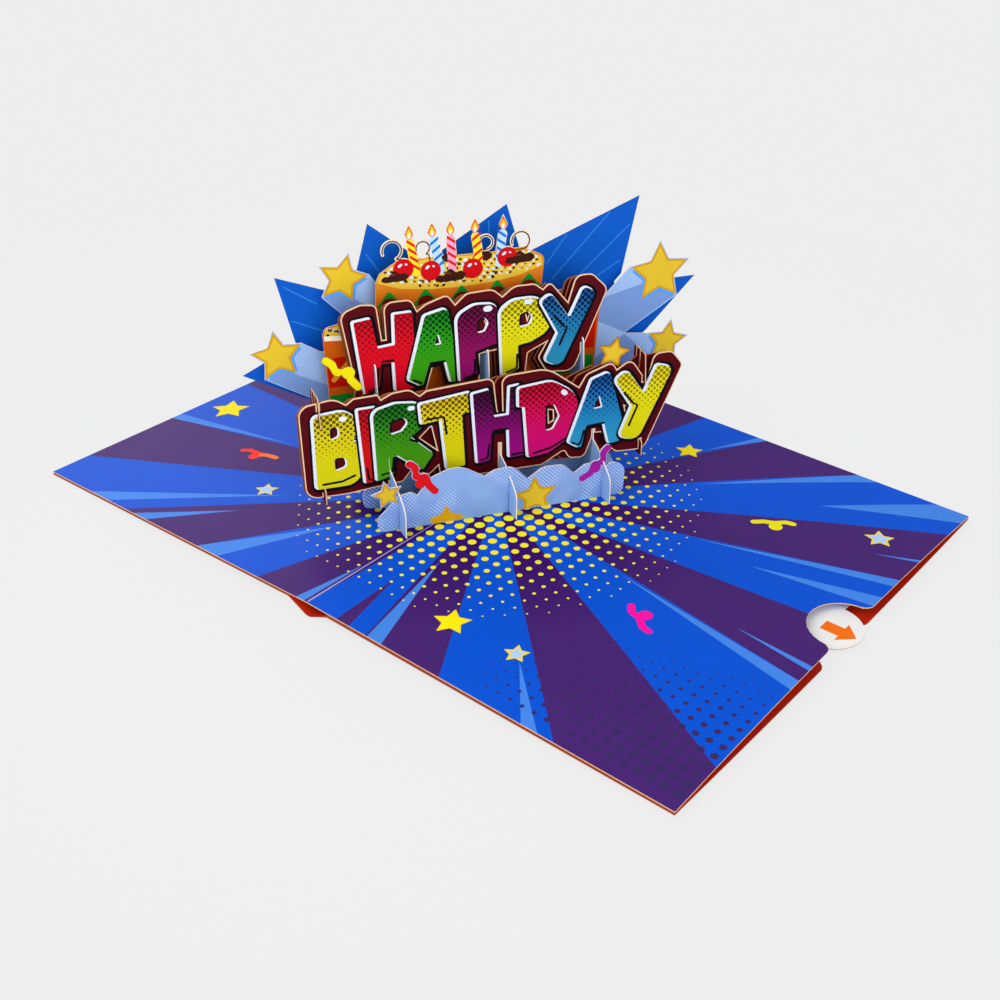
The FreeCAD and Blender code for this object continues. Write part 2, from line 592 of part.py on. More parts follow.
def notched(shape, notch, others=()):
    """Cuts the thumb notch and other blocks out of a sheet, and makes sure of the notch."""
    made = shape.cut(notch + list(others))
    inside = Part.makeBox(2.0, 2.0, 60.0, Vec(LEAF - 4.0, size("notch_offset") - 2.0, -20.0))
    if made.common(inside).Volume > 1e-6:
        raise RuntimeError("the thumb notch isn't cut")
    return made


def feature(label, shape):
    """A single-solid feature whose shape comes from lofts."""
    item = doc.addObject("Part::Feature", label)
    item.Label = label
    item.Shape = shape
    item.Placement = FreeCAD.Placement(Vec(0, 0, 0), FreeCAD.Rotation())
    return item


def slot_block(centre, direction, length, width):
    """An upright block that cuts a slot through the deck."""
    block = Part.makeBox(length, width, 4.0, Vec(-length / 2, -width / 2, -2.0))
    block.rotate(Vec(0, 0, 0), Vec(0, 0, 1), math.degrees(direction))
    block.translate(centre + Vec(0, 0, DECK))
    return block


def deck_slots():
    """One slot through the deck for each foot tab."""
    length = size("tab_width") + 2 * size("slot_gap")
    blocks = []
    for name, place, points, extras, holes in LAYERS:
        for tab in tabs_of(points):
            centre = U_AXIS * tab + V_AXIS * depth(place)
            blocks.append(slot_block(centre, LAYER, length, SLOT))
    for name, alias in SLICES:
        for tab in tabs_of(slice_outline(alias)):
            centre = U_AXIS * size(alias) + C_AXIS * tab
            blocks.append(slot_block(centre, CROSS, length, SLOT))
    return blocks


def tabs_of(points):
    """Middles of the foot tabs in an outline."""
    low = [x for x, z, radius in points if z < -0.1]
    return [(low[i] + low[i + 1]) / 2 for i in range(0, len(low), 2)]


def make_inner_sheet():
    """The printed inner sheet: two leaves, a crease, slots and the thumb notch."""
    left = sheet_section(-LEAF, LEFT_EDGE, 0.0)
    crease = sheet_section(0.0, DECK, 0.0)
    right = sheet_section(LEAF, size("mouth_height"), size("mouth_bow"))
    shape = Part.makeLoft([left, crease], True, True)
    shape = shape.fuse(Part.makeLoft([crease, right], True, True))
    notch = notch_cut(0.0, -10, DECK + 20)
    return feature("inner_sheet", notched(shape, notch, deck_slots()))


def spine_strip(left_low, right_low):
    """The cover's folded spine, a shallow valley down to the floor."""
    flat = size("spine_flat")
    corners = [(-SPINE, left_low), (-flat, 0.0), (flat, 0.0), (SPINE, right_low),
               (SPINE, right_low + COVER), (flat - 0.2, COVER), (0.2 - flat, COVER),
               (-SPINE, left_low + COVER)]
    half = size("fold_length") / 2
    wire = Part.makePolygon([Vec(x, -half, z) for x, z in corners + corners[:1]])
    return Part.Face(wire).extrude(Vec(0, 2 * half, 0))


def make_cover():
    """The folded cover: two panels with turned-in flaps and a valley spine."""
    under = PAPER + GLUE
    level_out = size("mouth_height") - under
    low_out = -0.0
    belly = level_out - 2 * COVER - GLUE
    level_in = share(DECK, size("mouth_height"), SPINE_PART) - under
    bow_in = size("mouth_bow") * SPINE_PART
    low_in = level_in - size("pocket_gap") - COVER
    right_in = cover_section(SPINE, level_in, bow_in, low_in, 0.0)
    right_out = cover_section(LEAF, level_out, size("mouth_bow"), belly, low_out - belly)
    right = Part.makeLoft([right_in, right_out], True, True)
    left_level_in = share(DECK, LEFT_EDGE, SPINE_PART) - under
    left_in = cover_section(-SPINE, left_level_in, 0.0, left_level_in - 2 * COVER - GLUE, 0.0)
    left_out = cover_section(-LEAF, 2 * COVER + GLUE, 0.0, 0.0, 0.0)
    left = Part.makeLoft([left_out, left_in], True, True)
    spine = spine_strip(left_level_in - 2 * COVER - GLUE, low_in)
    shape = right.fuse([left, spine])
    return feature("cover", notched(shape, notch_cut(size("notch_shift"), -10, DECK + 20)))


def note_slope():
    """Fall of the note card's plane from the spine to the mouth, in radians."""
    inner = LEAF - size("note_inset") - size("note_length")
    part = inner / LEAF
    top_in = share(DECK, size("mouth_height"), part) - PAPER
    high_in = top_in - GLUE - 0.12
    high_out = (size("mouth_height") - PAPER - GLUE - COVER) + 0.75 * size("mouth_bow") * 0.36
    return math.atan((high_in - high_out) / (LEAF - inner)), inner, high_in


def make_note_card():
    """The pull-out note card with its round tab, lying in the pocket."""
    body = doc.addObject("PartDesign::Body", "note_card")
    body.Label = "note_card"
    length = size("note_length")
    half = size("note_width") / 2
    outline = rounded([(0, -half, 3.0), (0, half, 3.0), (length, half, 3.0),
                       (length, -half, 3.0)])
    middle = size("notch_offset")
    tab = circle(length, middle, size("tab_radius"))
    for index, edges in enumerate((outline, tab)):
        sketch = sketch_on(body, "note_outline_%d" % index, "XY_Plane", [edges])
        pad = body.newObject("PartDesign::Pad", "note_pad_%d" % index)
        pad.Profile = sketch
        pad.setExpression("Length", "Sizes.sheet_thickness")
        doc.recompute()
    slope, inner, high = note_slope()
    turn = FreeCAD.Rotation(Vec(0, 1, 0), math.degrees(slope))
    body.Placement = FreeCAD.Placement(Vec(inner, 0, high - PAPER), turn)
    body.setExpression("Placement.Base.x",
                       "Sizes.leaf_width - Sizes.note_inset - Sizes.note_length")
    return body


parts = [make_inner_sheet(), make_cover(), make_note_card()]
parts += [make_layer(*layer) for layer in LAYERS]
parts += [make_slice(name, alias, slice_outline(alias)) for name, alias in SLICES]
parts += [make_slice(name, alias, link_outline()) for name, alias in LINKS]

doc.recompute()
for item in doc.Objects:
    if "Invalid" in item.State or "Error" in item.State:
        raise RuntimeError("%s did not build: %s" % (item.Name, item.State))
for item in parts:
    if item.Shape.isNull() or not item.Shape.isValid() or len(item.Shape.Solids) != 1:
        raise RuntimeError("%s has %d solids" % (item.Label, len(item.Shape.Solids)))

os.makedirs("parts", exist_ok=True)
for item in parts:
    item.Shape.exportStep("parts/%s.step" % item.Label)
    box = item.Shape.BoundBox
    print("%-24s %8.1f mm3  z %6.2f to %6.2f" % (item.Label, item.Shape.Volume, box.ZMin, box.ZMax))
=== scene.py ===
import json
import logging
import math
from dataclasses import dataclass
from enum import Enum
from typing import Sequence

import bmesh
import bpy
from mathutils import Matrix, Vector
from mathutils.bvhtree import BVHTree
from mathutils.geometry import tessellate_polygon

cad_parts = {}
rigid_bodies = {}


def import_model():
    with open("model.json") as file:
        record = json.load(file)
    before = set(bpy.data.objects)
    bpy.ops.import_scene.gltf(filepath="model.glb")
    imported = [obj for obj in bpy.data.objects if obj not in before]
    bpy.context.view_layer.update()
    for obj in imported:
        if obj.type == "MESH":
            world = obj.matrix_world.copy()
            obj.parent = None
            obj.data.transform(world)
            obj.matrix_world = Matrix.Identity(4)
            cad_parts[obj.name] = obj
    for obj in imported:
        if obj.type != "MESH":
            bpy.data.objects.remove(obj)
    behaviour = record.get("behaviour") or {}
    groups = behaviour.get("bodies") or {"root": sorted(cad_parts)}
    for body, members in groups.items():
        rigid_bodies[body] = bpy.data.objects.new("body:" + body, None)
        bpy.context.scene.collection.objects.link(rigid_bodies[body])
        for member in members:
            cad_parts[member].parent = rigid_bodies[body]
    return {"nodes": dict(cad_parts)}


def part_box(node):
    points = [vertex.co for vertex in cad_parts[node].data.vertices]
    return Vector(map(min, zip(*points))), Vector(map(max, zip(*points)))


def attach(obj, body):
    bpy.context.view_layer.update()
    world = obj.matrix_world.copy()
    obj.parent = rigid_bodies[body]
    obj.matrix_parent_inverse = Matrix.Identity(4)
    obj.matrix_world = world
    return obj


for leftover in list(bpy.data.objects):
    bpy.data.objects.remove(leftover)
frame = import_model()

LOG = logging.getLogger("pop_up_card")
MM = 0.001
LAYER_ANGLE = math.radians(57.0)
LAYER_COS = math.cos(LAYER_ANGLE)
LAYER_SIN = math.sin(LAYER_ANGLE)
SLICE_ANGLE = math.radians(154.0)
FOOT_HEIGHT = 5.06
FRONT_DEPTH = 16.85
LAYER_PITCH = 2.45
PAPER = 0.35
ARC_STEPS = 6
ELLIPSE_STEPS = 20
DISC_STEPS = 14
SHARPEST_REACH = 0.03
DIAGONAL = 0.7071
DOT_BLUR = 0.04

Corner = tuple[float, float, float]
Point = tuple[float, float]
Shapes = Sequence[Sequence[Sequence[Point]]]
Socket = bpy.types.NodeSocket


class Facing(Enum):
    """The side of a piece that carries the print, as a direction."""

    LAYER_FRONT = (LAYER_SIN, -LAYER_COS, 0.0)
    UP = (0.0, 0.0, 1.0)
    SLICE_SIDE = (math.sin(SLICE_ANGLE), -math.cos(SLICE_ANGLE), 0.0)


def linear(code: str) -> tuple[float, float, float, float]:
    """Turns an sRGB hex code into a linear colour.

    Args:
        code: colour such as "#1464A8".
    Returns:
        Linear red, green, blue and an alpha of 1.
    """
    shares = [int(code[i:i + 2], 16) / 255 for i in (1, 3, 5)]
    made = [s / 12.92 if s <= 0.04045 else ((s + 0.055) / 1.055) ** 2.4 for s in shares]
    return made[0], made[1], made[2], 1.0


# Outlines


def rounded(corners: Sequence[Corner]) -> list[Point]:
    """Rounds the corners of an outline.

    Args:
        corners: corner points with the radius of each, in mm.
    Returns:
        Points along the rounded outline.
    """
    points: list[Point] = []
    for index, (x, y, radius) in enumerate(corners):
        here = Vector((x, y))
        back = Vector(corners[index - 1][:2]) - here
        ahead = Vector(corners[(index + 1) % len(corners)][:2]) - here
        room = 0.49 * min(back.length, ahead.length)
        back.normalize()
        ahead.normalize()
        half = math.acos(max(-1.0, min(1.0, back.dot(ahead)))) / 2
        reach = min(radius / math.tan(half), room) if 0.01 < half < 1.55 else 0.0
        if reach < SHARPEST_REACH:
            points.append((x, y))
            continue
        bend = reach * math.tan(half)
        centre = here + (back + ahead).normalized() * (bend / math.sin(half))
        start = here + back * reach - centre
        end = here + ahead * reach - centre
        for step in range(ARC_STEPS + 1):
            spot = centre + start.lerp(end, step / ARC_STEPS).normalized() * bend
            points.append((spot.x, spot.y))
    return points


def grown(corners: Sequence[Corner], by: float) -> list[Corner]:
    """Moves an outline outwards, with its roundings.

    Args:
        corners: corner points with radii, in mm.
        by: how far it grows, in mm; it shrinks where this is negative.
    Returns:
        The grown corner points with their radii.
    """
    spots = [Vector(corner[:2]) for corner in corners]
    area = sum(p.x * q.y - q.x * p.y for p, q in zip(spots, spots[1:] + spots[:1]))
    sign = 1.0 if area > 0 else -1.0
    made: list[Corner] = []
    for index, spot in enumerate(spots):
        before = (spot - spots[index - 1]).normalized()
        after = (spots[(index + 1) % len(spots)] - spot).normalized()
        normal_before = Vector((before.y, -before.x)) * sign
        normal_after = Vector((after.y, -after.x)) * sign
        share = max(1 + normal_before.dot(normal_after), 0.35)
        moved = spot + (normal_before + normal_after) * (by / share)
        convex = (before.x * after.y - before.y * after.x) * sign > 0
        radius = corners[index][2] + (by if convex else -by)
        made.append((moved.x, moved.y, max(radius, 0.0)))
    return made


def band(path: Sequence[Point], width: float) -> list[Point]:
    """Draws a band with round ends along a path.

    Args:
        path: points along its middle, in mm.
        width: width of the band, in mm.
    Returns:
        Points along the outline of the band.
    """
    left: list[Corner] = []
    right: list[Corner] = []
    for index, spot in enumerate(path):
        before = path[max(index - 1, 0)]
        after = path[min(index + 1, len(path) - 1)]
        along = Vector((after[0] - before[0], after[1] - before[1])).normalized()
        across = Vector((-along.y, along.x)) * width / 2
        bend = width * (0.49 if index in (0, len(path) - 1) else 1.0)
        left.append((spot[0] + across.x, spot[1] + across.y, bend))
        right.append((spot[0] - across.x, spot[1] - across.y, bend))
    return rounded(left + right[::-1])


def ellipse(x: float, y: float, wide: float, high: float, turn: float = 0.0) -> list[Point]:
    """Draws an ellipse.

    Args:
        x: its middle across, in mm.
        y: its middle upwards, in mm.
        wide: its whole width, in mm.
        high: its whole height, in mm.
        turn: how far it is turned, in degrees.
    Returns:
        Points along the ellipse.
    """
    cos, sin = math.cos(math.radians(turn)), math.sin(math.radians(turn))
    made = []
    for step in range(ELLIPSE_STEPS):
        a = math.tau * step / ELLIPSE_STEPS
        p, q = math.cos(a) * wide / 2, math.sin(a) * high / 2
        made.append((x + p * cos - q * sin, y + p * sin + q * cos))
    return made


def star(x: float, y: float, radius: float, turn: float) -> list[Corner]:
    """Draws a five-pointed star.

    Args:
        x: its middle across, in mm.
        y: its middle upwards, in mm.
        radius: from the middle to a tip, in mm.
        turn: direction of the first tip, in degrees.
    Returns:
        Its corner points with small roundings.
    """
    made = []
    for index in range(10):
        reach = radius if index % 2 == 0 else radius * 0.5
        angle = math.radians(turn - 36.0 * index)
        made.append((x + reach * math.cos(angle), y + reach * math.sin(angle), 0.15))
    return made


# Node trees


MATH = "ShaderNodeMath"
VECTOR = "ShaderNodeVectorMath"
RANGE = "ShaderNodeMapRange"
NOISE = "ShaderNodeTexNoise"
COORDS = "ShaderNodeTexCoord"
MIX = "ShaderNodeMix"


class Tree:
    """A node tree, and the patterns that several finishes share."""

    def __init__(self, tree: bpy.types.NodeTree) -> None:
        """Starts from an empty tree.

        Args:
            tree: the node tree to fill.
        """
        self.tree = tree
        self.tree.nodes.clear()

    def add(self, kind: str, inputs: Sequence | dict = (), out: int | str = 0,
            **settings: object) -> Socket | None:
        """Adds one node with its settings and links.

        Args:
            kind: the node's type name.
            inputs: sockets or values for its inputs, in order, or by name or number.
            out: which of its outputs is given back.
            settings: values for its own settings.
        Returns:
            The output, or None where the node has none.
        """
        node = self.tree.nodes.new(kind)
        for key, value in settings.items():
            setattr(node, key, value)
        for key, value in inputs.items() if isinstance(inputs, dict) else enumerate(inputs):
            if isinstance(value, Socket):
                self.tree.links.new(value, node.inputs[key])
            else:
                node.inputs[key].default_value = value
        return node.outputs[out] if len(node.outputs) else None

    def length(self, x: Socket, y: Socket) -> Socket:
        """Works out a distance from its two sides.

        Args:
            x: socket of the way across.
            y: socket of the way upwards.
        Returns:
            The distance's socket.
        """
        squares = [self.add(MATH, (side, side), operation="MULTIPLY") for side in (x, y)]
        return self.add(MATH, (self.add(MATH, squares, operation="ADD"),), operation="SQRT")

    def place(self) -> list[Socket]:
        """Gives the point on the piece, in mm.

        Returns:
            The sockets of x, y and z.
        """
        scaled = self.add(VECTOR, {0: self.add(COORDS, out="Object"), "Scale": 1 / MM},
                          operation="SCALE")
        return list(self.add("ShaderNodeSeparateXYZ", (scaled,)).node.outputs)

    def on_layer(self) -> tuple[Socket, Socket]:
        """Gives the point on a standing layer, in mm.

        Returns:
            The sockets of the run along the layer and the height over the deck.
        """
        x, y, z = self.place()
        across = self.add(MATH, (x, LAYER_COS), operation="MULTIPLY")
        along = self.add(MATH, (y, LAYER_SIN), operation="MULTIPLY")
        return (self.add(MATH, (across, along), operation="ADD"),
                self.add(MATH, (z, FOOT_HEIGHT), operation="SUBTRACT"))

    def dots(self, x: Socket, y: Socket, pitch: float, radius: object) -> Socket:
        """Lays printed dots on a grid turned by 45 degrees.

        Args:
            x: socket of the place across, in mm.
            y: socket of the place upwards, in mm.
            pitch: distance from dot to dot, in mm.
            radius: radius of the dots, in mm, as a number or a socket.
        Returns:
            A socket that is 1 in a dot and 0 beside it.
        """
        offsets = []
        for operation in ("ADD", "SUBTRACT"):
            sloped = self.add(MATH, (x, y), operation=operation)
            cells = self.add(MATH, (sloped, DIAGONAL / pitch), operation="MULTIPLY")
            part = self.add(MATH, (cells,), operation="FRACT")
            offsets.append(self.add(MATH, (part, 0.5), operation="SUBTRACT"))
        reach = self.add(MATH, (self.length(*offsets), pitch), operation="MULTIPLY")
        inside = self.add(MATH, (radius, reach), operation="SUBTRACT")
        return self.add(RANGE, (inside, -DOT_BLUR, DOT_BLUR))


# Finishes

# The fibres of real card, about 0.02 mm wide, are too fine for the render, so the grain is
# drawn this coarse, which keeps the card from looking like plastic.
FIBRES_PER_MM = 2.6
FIBRE_RELIEF = 0.35
FIBRE_DULLING = 0.14
# Ink lies slightly uneven over about a centimetre, so a large field isn't one flat tone.
MOTTLE_PER_MM = 0.09
MOTTLE_DEPTH = 0.16
SHEEN = 0.07
FACE_LIMIT = 0.6


def paper_surface(tree: Tree, colour: object, roughness: float, depth: float) -> None:
    """Ends a material as coated card: fibres in the surface and slightly uneven ink.

    Args:
        tree: the material's tree.
        colour: socket or value of the colour.
        roughness: how dull the coating is.
        depth: height of the fibres, in metres.
    """
    coords = tree.add(COORDS, out="Object")
    cloudy = tree.add(NOISE, {"Vector": coords, "Scale": MOTTLE_PER_MM / MM, "Detail": 3.0})
    value = tree.add(MATH, (cloudy, MOTTLE_DEPTH, 1.0 - MOTTLE_DEPTH / 2),
                     operation="MULTIPLY_ADD")
    uneven = tree.add("ShaderNodeHueSaturation", {"Color": colour, "Value": value})
    fibre = tree.add(NOISE, {"Vector": coords, "Scale": FIBRES_PER_MM / MM, "Detail": 2.0})
    bump = tree.add("ShaderNodeBump", {"Height": fibre, "Strength": FIBRE_RELIEF,
                                       "Distance": depth})
    dull = tree.add(MATH, (fibre, FIBRE_DULLING, roughness - FIBRE_DULLING / 2),
                    operation="MULTIPLY_ADD")
    surface = tree.add("ShaderNodeBsdfPrincipled",
                       {"Base Color": uneven, "Roughness": dull, "Normal": bump,
                        "Specular IOR Level": SHEEN})
    tree.add("ShaderNodeOutputMaterial", (surface,))


def cut_edge(tree: Tree, face: object, edge: str, facing: Facing) -> Socket:
    """Shows print on the faces of a sheet and the edge colour on its cut edges: bare board, or
    painted shade where a finish gives a darker edge.

    Args:
        tree: the material's tree.
        face: socket or value of the print's colour.
        edge: hex code of the cut edges: bare board, or painted shade on some finishes.
        facing: direction of the printed side.
    Returns:
        The socket of the colour.
    """
    normal = tree.add("ShaderNodeNewGeometry", out="Normal")
    along = tree.add(VECTOR, (normal, facing.value), "Value", operation="DOT_PRODUCT")
    either = tree.add(MATH, (along,), operation="ABSOLUTE")
    flat = tree.add(MATH, (either, FACE_LIMIT), operation="GREATER_THAN")
    return tree.add(MIX, {0: flat, 6: linear(edge), 7: face}, 2, data_type="RGBA")


@dataclass(frozen=True)
class Finish:
    """Printed card of one colour, with the board's own colour on cut edges, or a darker edge
    colour that is painted shade.
    """

    name: str
    face: str
    edge: str = "#F6E3C4"
    facing: Facing = Facing.LAYER_FRONT
    roughness: float = 0.5
    fibre: float = 0.00002

    def colour(self, tree: Tree) -> object:
        """Gives the colour of the printed face.

        Args:
            tree: the material's tree.
        Returns:
            A socket or a value.
        """
        return linear(self.face)

    def material(self) -> bpy.types.Material:
        """Makes the material, or finds it if it is made already.

        Returns:
            The material.
        """
        known = bpy.data.materials.get(self.name)
        if known is not None:
            return known
        made = bpy.data.materials.new(self.name)
        made.use_nodes = True
        tree = Tree(made.node_tree)
        colour = cut_edge(tree, self.colour(tree), self.edge, self.facing)
        paper_surface(tree, colour, self.roughness, self.fibre)
        return made


@dataclass(frozen=True)
class Fade(Finish):
    """Ink that changes from one colour to another with height, with dots that thin out."""

    top: str = "#FFFFFF"
    dot: str = "#000000"
    low: float = 15.0
    high: float = 40.0
    pitch: float = 1.42
    largest: float = 0.7
    held_back: float = 0.07
    dots_from: float = 0.2
    dots_full: float = 0.9

    def colour(self, tree: Tree) -> object:
        """Gives the faded colour with its dots.

        Args:
            tree: the material's tree.
        Returns:
            The colour's socket.
        """
        run, height = tree.on_layer()
        share = tree.add(RANGE, (height, self.low, self.high))
        base = tree.add(MIX, {0: share, 6: linear(self.face), 7: linear(self.top)}, 2,
                        data_type="RGBA")
        tall = self.high - self.low
        grow = tree.add(RANGE, (height, self.low + self.dots_from * tall,
                                self.low + self.dots_full * tall))
        radius = tree.add(MATH, (grow, self.largest, -self.held_back),
                          operation="MULTIPLY_ADD")
        marks = tree.dots(run, height, self.pitch, radius)
        return tree.add(MIX, {0: marks, 6: base, 7: linear(self.dot)}, 2, data_type="RGBA")


@dataclass(frozen=True)
class CloudPrint(Finish):
    """Cloud print: blue that pales in soft billows, with a fine light screen of dots."""

    pale: str = "#8CACE0"
    dot: str = "#B0C8F0"
    pitch: float = 0.95
    largest: float = 0.36
    tall: float = 17.0
    billows_per_mm: float = 0.07
    lightening: float = 0.35
    pale_from: float = 0.5
    pale_full: float = 0.85
    dots_none: float = 0.62
    dots_full: float = 0.45

    def colour(self, tree: Tree) -> object:
        """Gives the billowing blue with its screen.

        Args:
            tree: the material's tree.
        Returns:
            The colour's socket.
        """
        run, height = tree.on_layer()
        billow = tree.add(NOISE, {"Vector": tree.add(COORDS, out="Object"),
                                  "Scale": self.billows_per_mm / MM, "Detail": 1.0})
        lift = tree.add(RANGE, (height, 0.0, self.tall))
        mixed = tree.add(MATH, (lift, self.lightening, billow), operation="MULTIPLY_ADD")
        share = tree.add(RANGE, (mixed, self.pale_from, self.pale_full))
        base = tree.add(MIX, {0: share, 6: linear(self.face), 7: linear(self.pale)}, 2,
                        data_type="RGBA")
        thin = tree.add(RANGE, (billow, self.dots_none, self.dots_full))
        radius = tree.add(MATH, (thin, self.largest), operation="MULTIPLY")
        marks = tree.dots(run, height, self.pitch, radius)
        return tree.add(MIX, {0: marks, 6: base, 7: linear(self.dot)}, 2, data_type="RGBA")


@dataclass(frozen=True)
class CakePrint(Finish):
    """Cake print: orange side that reddens downwards, dark sugar curls over the top."""

    warm: str = "#CC5A0C"
    curl: str = "#EAD9C4"
    top: float = 79.2
    red_from: float = 74.0
    red_full: float = 62.0
    clouds_per_mm: float = 0.055
    cloud_share: float = 0.5
    orange_below: float = 0.2
    red_above: float = 1.1

    def colour(self, tree: Tree) -> object:
        """Gives the side's orange below the top and the curls' colour over it.

        Args:
            tree: the material's tree.
        Returns:
            The colour's socket.
        """
        height = tree.on_layer()[1]
        cloud = tree.add(NOISE, {"Vector": tree.add(COORDS, out="Object"),
                                 "Scale": self.clouds_per_mm / MM})
        lower = tree.add(RANGE, (height, self.red_from, self.red_full))
        share = tree.add(MATH, (cloud, self.cloud_share, lower), operation="MULTIPLY_ADD")
        warm = tree.add(RANGE, (share, self.orange_below, self.red_above))
        side = tree.add(MIX, {0: warm, 6: linear(self.face), 7: linear(self.warm)}, 2,
                        data_type="RGBA")
        above = tree.add(MATH, (height, self.top), operation="GREATER_THAN")
        return tree.add(MIX, {0: above, 6: side, 7: linear(self.curl)}, 2, data_type="RGBA")


RAY_CENTRE = (4.0, -5.0)
EDGE_X = 127.0
EDGE_Y = 85.75
# Each blue ray of the base print runs between two points on the edge of the sheet.
BLUE_RAYS = [
    ((-127, -34.7), (-127, 1.5)), ((-86.2, -85.75), (-127, -71.2)), ((-21.7, -85.75),
    (-49.6, -85.75)), ((23.8, -85.75), (0, -85.75)), ((90.4, -85.75), (51.3, -85.75)),
    ((127, -26.2), (127, -67.5)), ((127, 34.7), (127, 2.8)), ((87.9, 85.75), (127, 69.7)),
    ((26.7, 85.75), (52.5, 85.75)), ((-13.6, 85.75), (7.2, 85.75)), ((-66.9, 85.75),
    (-38.3, 85.75)), ((-127, 53.3), (-112.2, 85.75)), ((-127, 12.2), (-127, 22.8))]
# Each light wedge: its two corners on the edge of the sheet and its tip.
LIGHT_WEDGES = [
    ((-126.3, -30.3), (-126.3, -34.7), (-75.8, -21.7)), ((-105, -85.75), (-95.4, -85.75),
    (-50, -48.3)), ((-81.7, -85.75), (-75.4, -85.75), (-57.9, -62)), ((-49.6, -85.75),
    (-40, -85.75), (-24.2, -51.2)), ((-4.6, -85.75), (-1.3, -85.75), (-0.8, -62)),
    ((24.3, -85.75), (29.8, -85.75), (16.3, -45.3)), ((85, -85.75), (79.6, -85.75),
    (64, -66.5)), ((127, -26.3), (127, -30.8), (61.7, -16.6)), ((127, -18.7), (127, -20.9),
    (101.7, -18.3)), ((127, 34.7), (127, 30.5), (66.7, 18.6)), ((127, 23), (127, 17.3),
    (88.3, 14.7)), ((127, 49.3), (127, 47.8), (113.5, 44.3)), ((115.8, 85.75), (127, 80),
    (87.9, 58.4)), ((87.9, 85.75), (95, 85.75), (48, 46)), ((49.2, 85.75), (52.5, 85.75),
    (40.4, 64.7)), ((-127, 7.5), (-127, 12.2), (-97, 7.0))]
DARK_WEDGES = [((12.1, -85.75), (17.1, -85.75), (11.8, -59.5))]


@dataclass(frozen=True)
class Sunburst(Finish):
    """The base print: rays of purple and blue from one centre, with light wedges."""

    blue: str = "#004EC8"
    light: str = "#407FDA"
    deep: str = "#300062"
    fade_near: float = 30.0
    fade_far: float = 75.0

    def wedge(self, tree: Tree, angle: object, reach: object,
              corners: Sequence[Point]) -> Socket:
        """Marks one wedge that widens outwards from its tip.

        Args:
            tree: the material's tree.
            angle: socket of the direction from the centre, in radians.
            reach: socket of the distance from the centre, in mm.
            corners: two points on the sheet's edge and the tip.
        Returns:
            A socket that is 1 in the wedge.
        """
        arms = [Vector(c) - Vector(RAY_CENTRE) for c in corners]
        turns = [math.atan2(arm.y, arm.x) for arm in arms[:2]]
        middle = sum(turns) / 2
        outer = (arms[0].length + arms[1].length) / 2
        half = abs(turns[0] - turns[1]) / 2 * outer
        inner = arms[2].length
        slope = half / (outer - inner)
        room = tree.add(MATH, (reach, slope, -slope * inner), operation="MULTIPLY_ADD")
        turned = tree.add(MATH, (angle, middle), operation="SUBTRACT")
        aside = tree.add(MATH, (turned,), operation="ABSOLUTE")
        away = tree.add(MATH, (aside, reach), operation="MULTIPLY")
        return tree.add(MATH, (away, room), operation="LESS_THAN")

    def colour(self, tree: Tree) -> object:
        """Gives the rays and wedges.

        Args:
            tree: the material's tree.
        Returns:
            The colour's socket.
        """
        dx, dy = [tree.add(MATH, (place, middle), operation="SUBTRACT")
                  for place, middle in zip(tree.place(), RAY_CENTRE)]
        angle = tree.add(MATH, (dy, dx), operation="ARCTAN2")
        reach = tree.length(dx, dy)
        around = tree.add(MATH, (angle, 1 / math.tau, 0.5), operation="MULTIPLY_ADD")
        shares = []
        for ends in BLUE_RAYS:
            turns = [math.atan2(y - RAY_CENTRE[1], x - RAY_CENTRE[0]) / math.tau + 0.5
                     for x, y in ends]
            past = tree.add(MATH, (around, min(turns)), operation="GREATER_THAN")
            short = tree.add(MATH, (around, max(turns)), operation="LESS_THAN")
            inside = tree.add(MATH, (past, short), operation="MULTIPLY")
            if max(turns) - min(turns) > 0.5:
                inside = tree.add(MATH, (1.0, inside), operation="SUBTRACT")
            shares.append(inside)
        near = tree.add(RANGE, (reach, self.fade_far, self.fade_near))
        made = tree.add(MIX, {0: near, 6: linear(self.face), 7: linear(self.deep)}, 2,
                        data_type="RGBA")
        layers = [(self.blue, shares)]
        for code, wedges in ((self.light, LIGHT_WEDGES), (self.face, DARK_WEDGES)):
            layers.append((code, [self.wedge(tree, angle, reach, w) for w in wedges]))
        for code, marks in layers:
            made = tree.add(MIX, {0: self.any_of(tree, marks), 6: made, 7: linear(code)}, 2,
                            data_type="RGBA")
        return made

    def any_of(self, tree: Tree, marks: Sequence[object]) -> object:
        """Joins marks so that the result is 1 where any of them is.

        Args:
            tree: the material's tree.
            marks: sockets to join.
        Returns:
            The joined socket.
        """
        joined = marks[0]
        for mark in marks[1:]:
            joined = tree.add(MATH, (joined, mark), operation="MAXIMUM")
        return joined


def ink(name: str, code: str) -> Finish:
    """Makes a plain printed ink.

    Args:
        name: the material's name.
        code: hex code of the ink.
    Returns:
        The finish.
    """
    return Finish(name, code, code)


# Meshes


def layer_point(run: float, height: float, place: float, lift: float) -> Vector:
    """Places a point on the front of a standing layer.

    Args:
        run: place along the layer, in mm.
        height: height over the deck, in mm.
        place: the layer's place in the stack.
        lift: distance in front of the layer's face, in mm.
    Returns:
        The point in metres.
    """
    deep = -FRONT_DEPTH + place * LAYER_PITCH - PAPER / 2 - lift
    return Vector((run * LAYER_COS - deep * LAYER_SIN, run * LAYER_SIN + deep * LAYER_COS,
                   FOOT_HEIGHT + height)) * MM


def finish_piece(name: str, mesh: bpy.types.Mesh, finish: Finish, slot: str,
                 body: str = "card") -> None:
    """Turns a mesh into a piece of the object.

    Args:
        name: the piece's name.
        mesh: its mesh, in metres, in place.
        finish: what it is printed or made with.
        slot: the record's material slot; not used.
        body: the body that it moves with.
    """
    mesh.materials.clear()
    mesh.materials.append(finish.material())
    piece = bpy.data.objects.new(name, mesh)
    bpy.context.scene.collection.objects.link(piece)
    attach(piece, body)
    LOG.info("piece %s: %d faces", name, len(mesh.polygons))


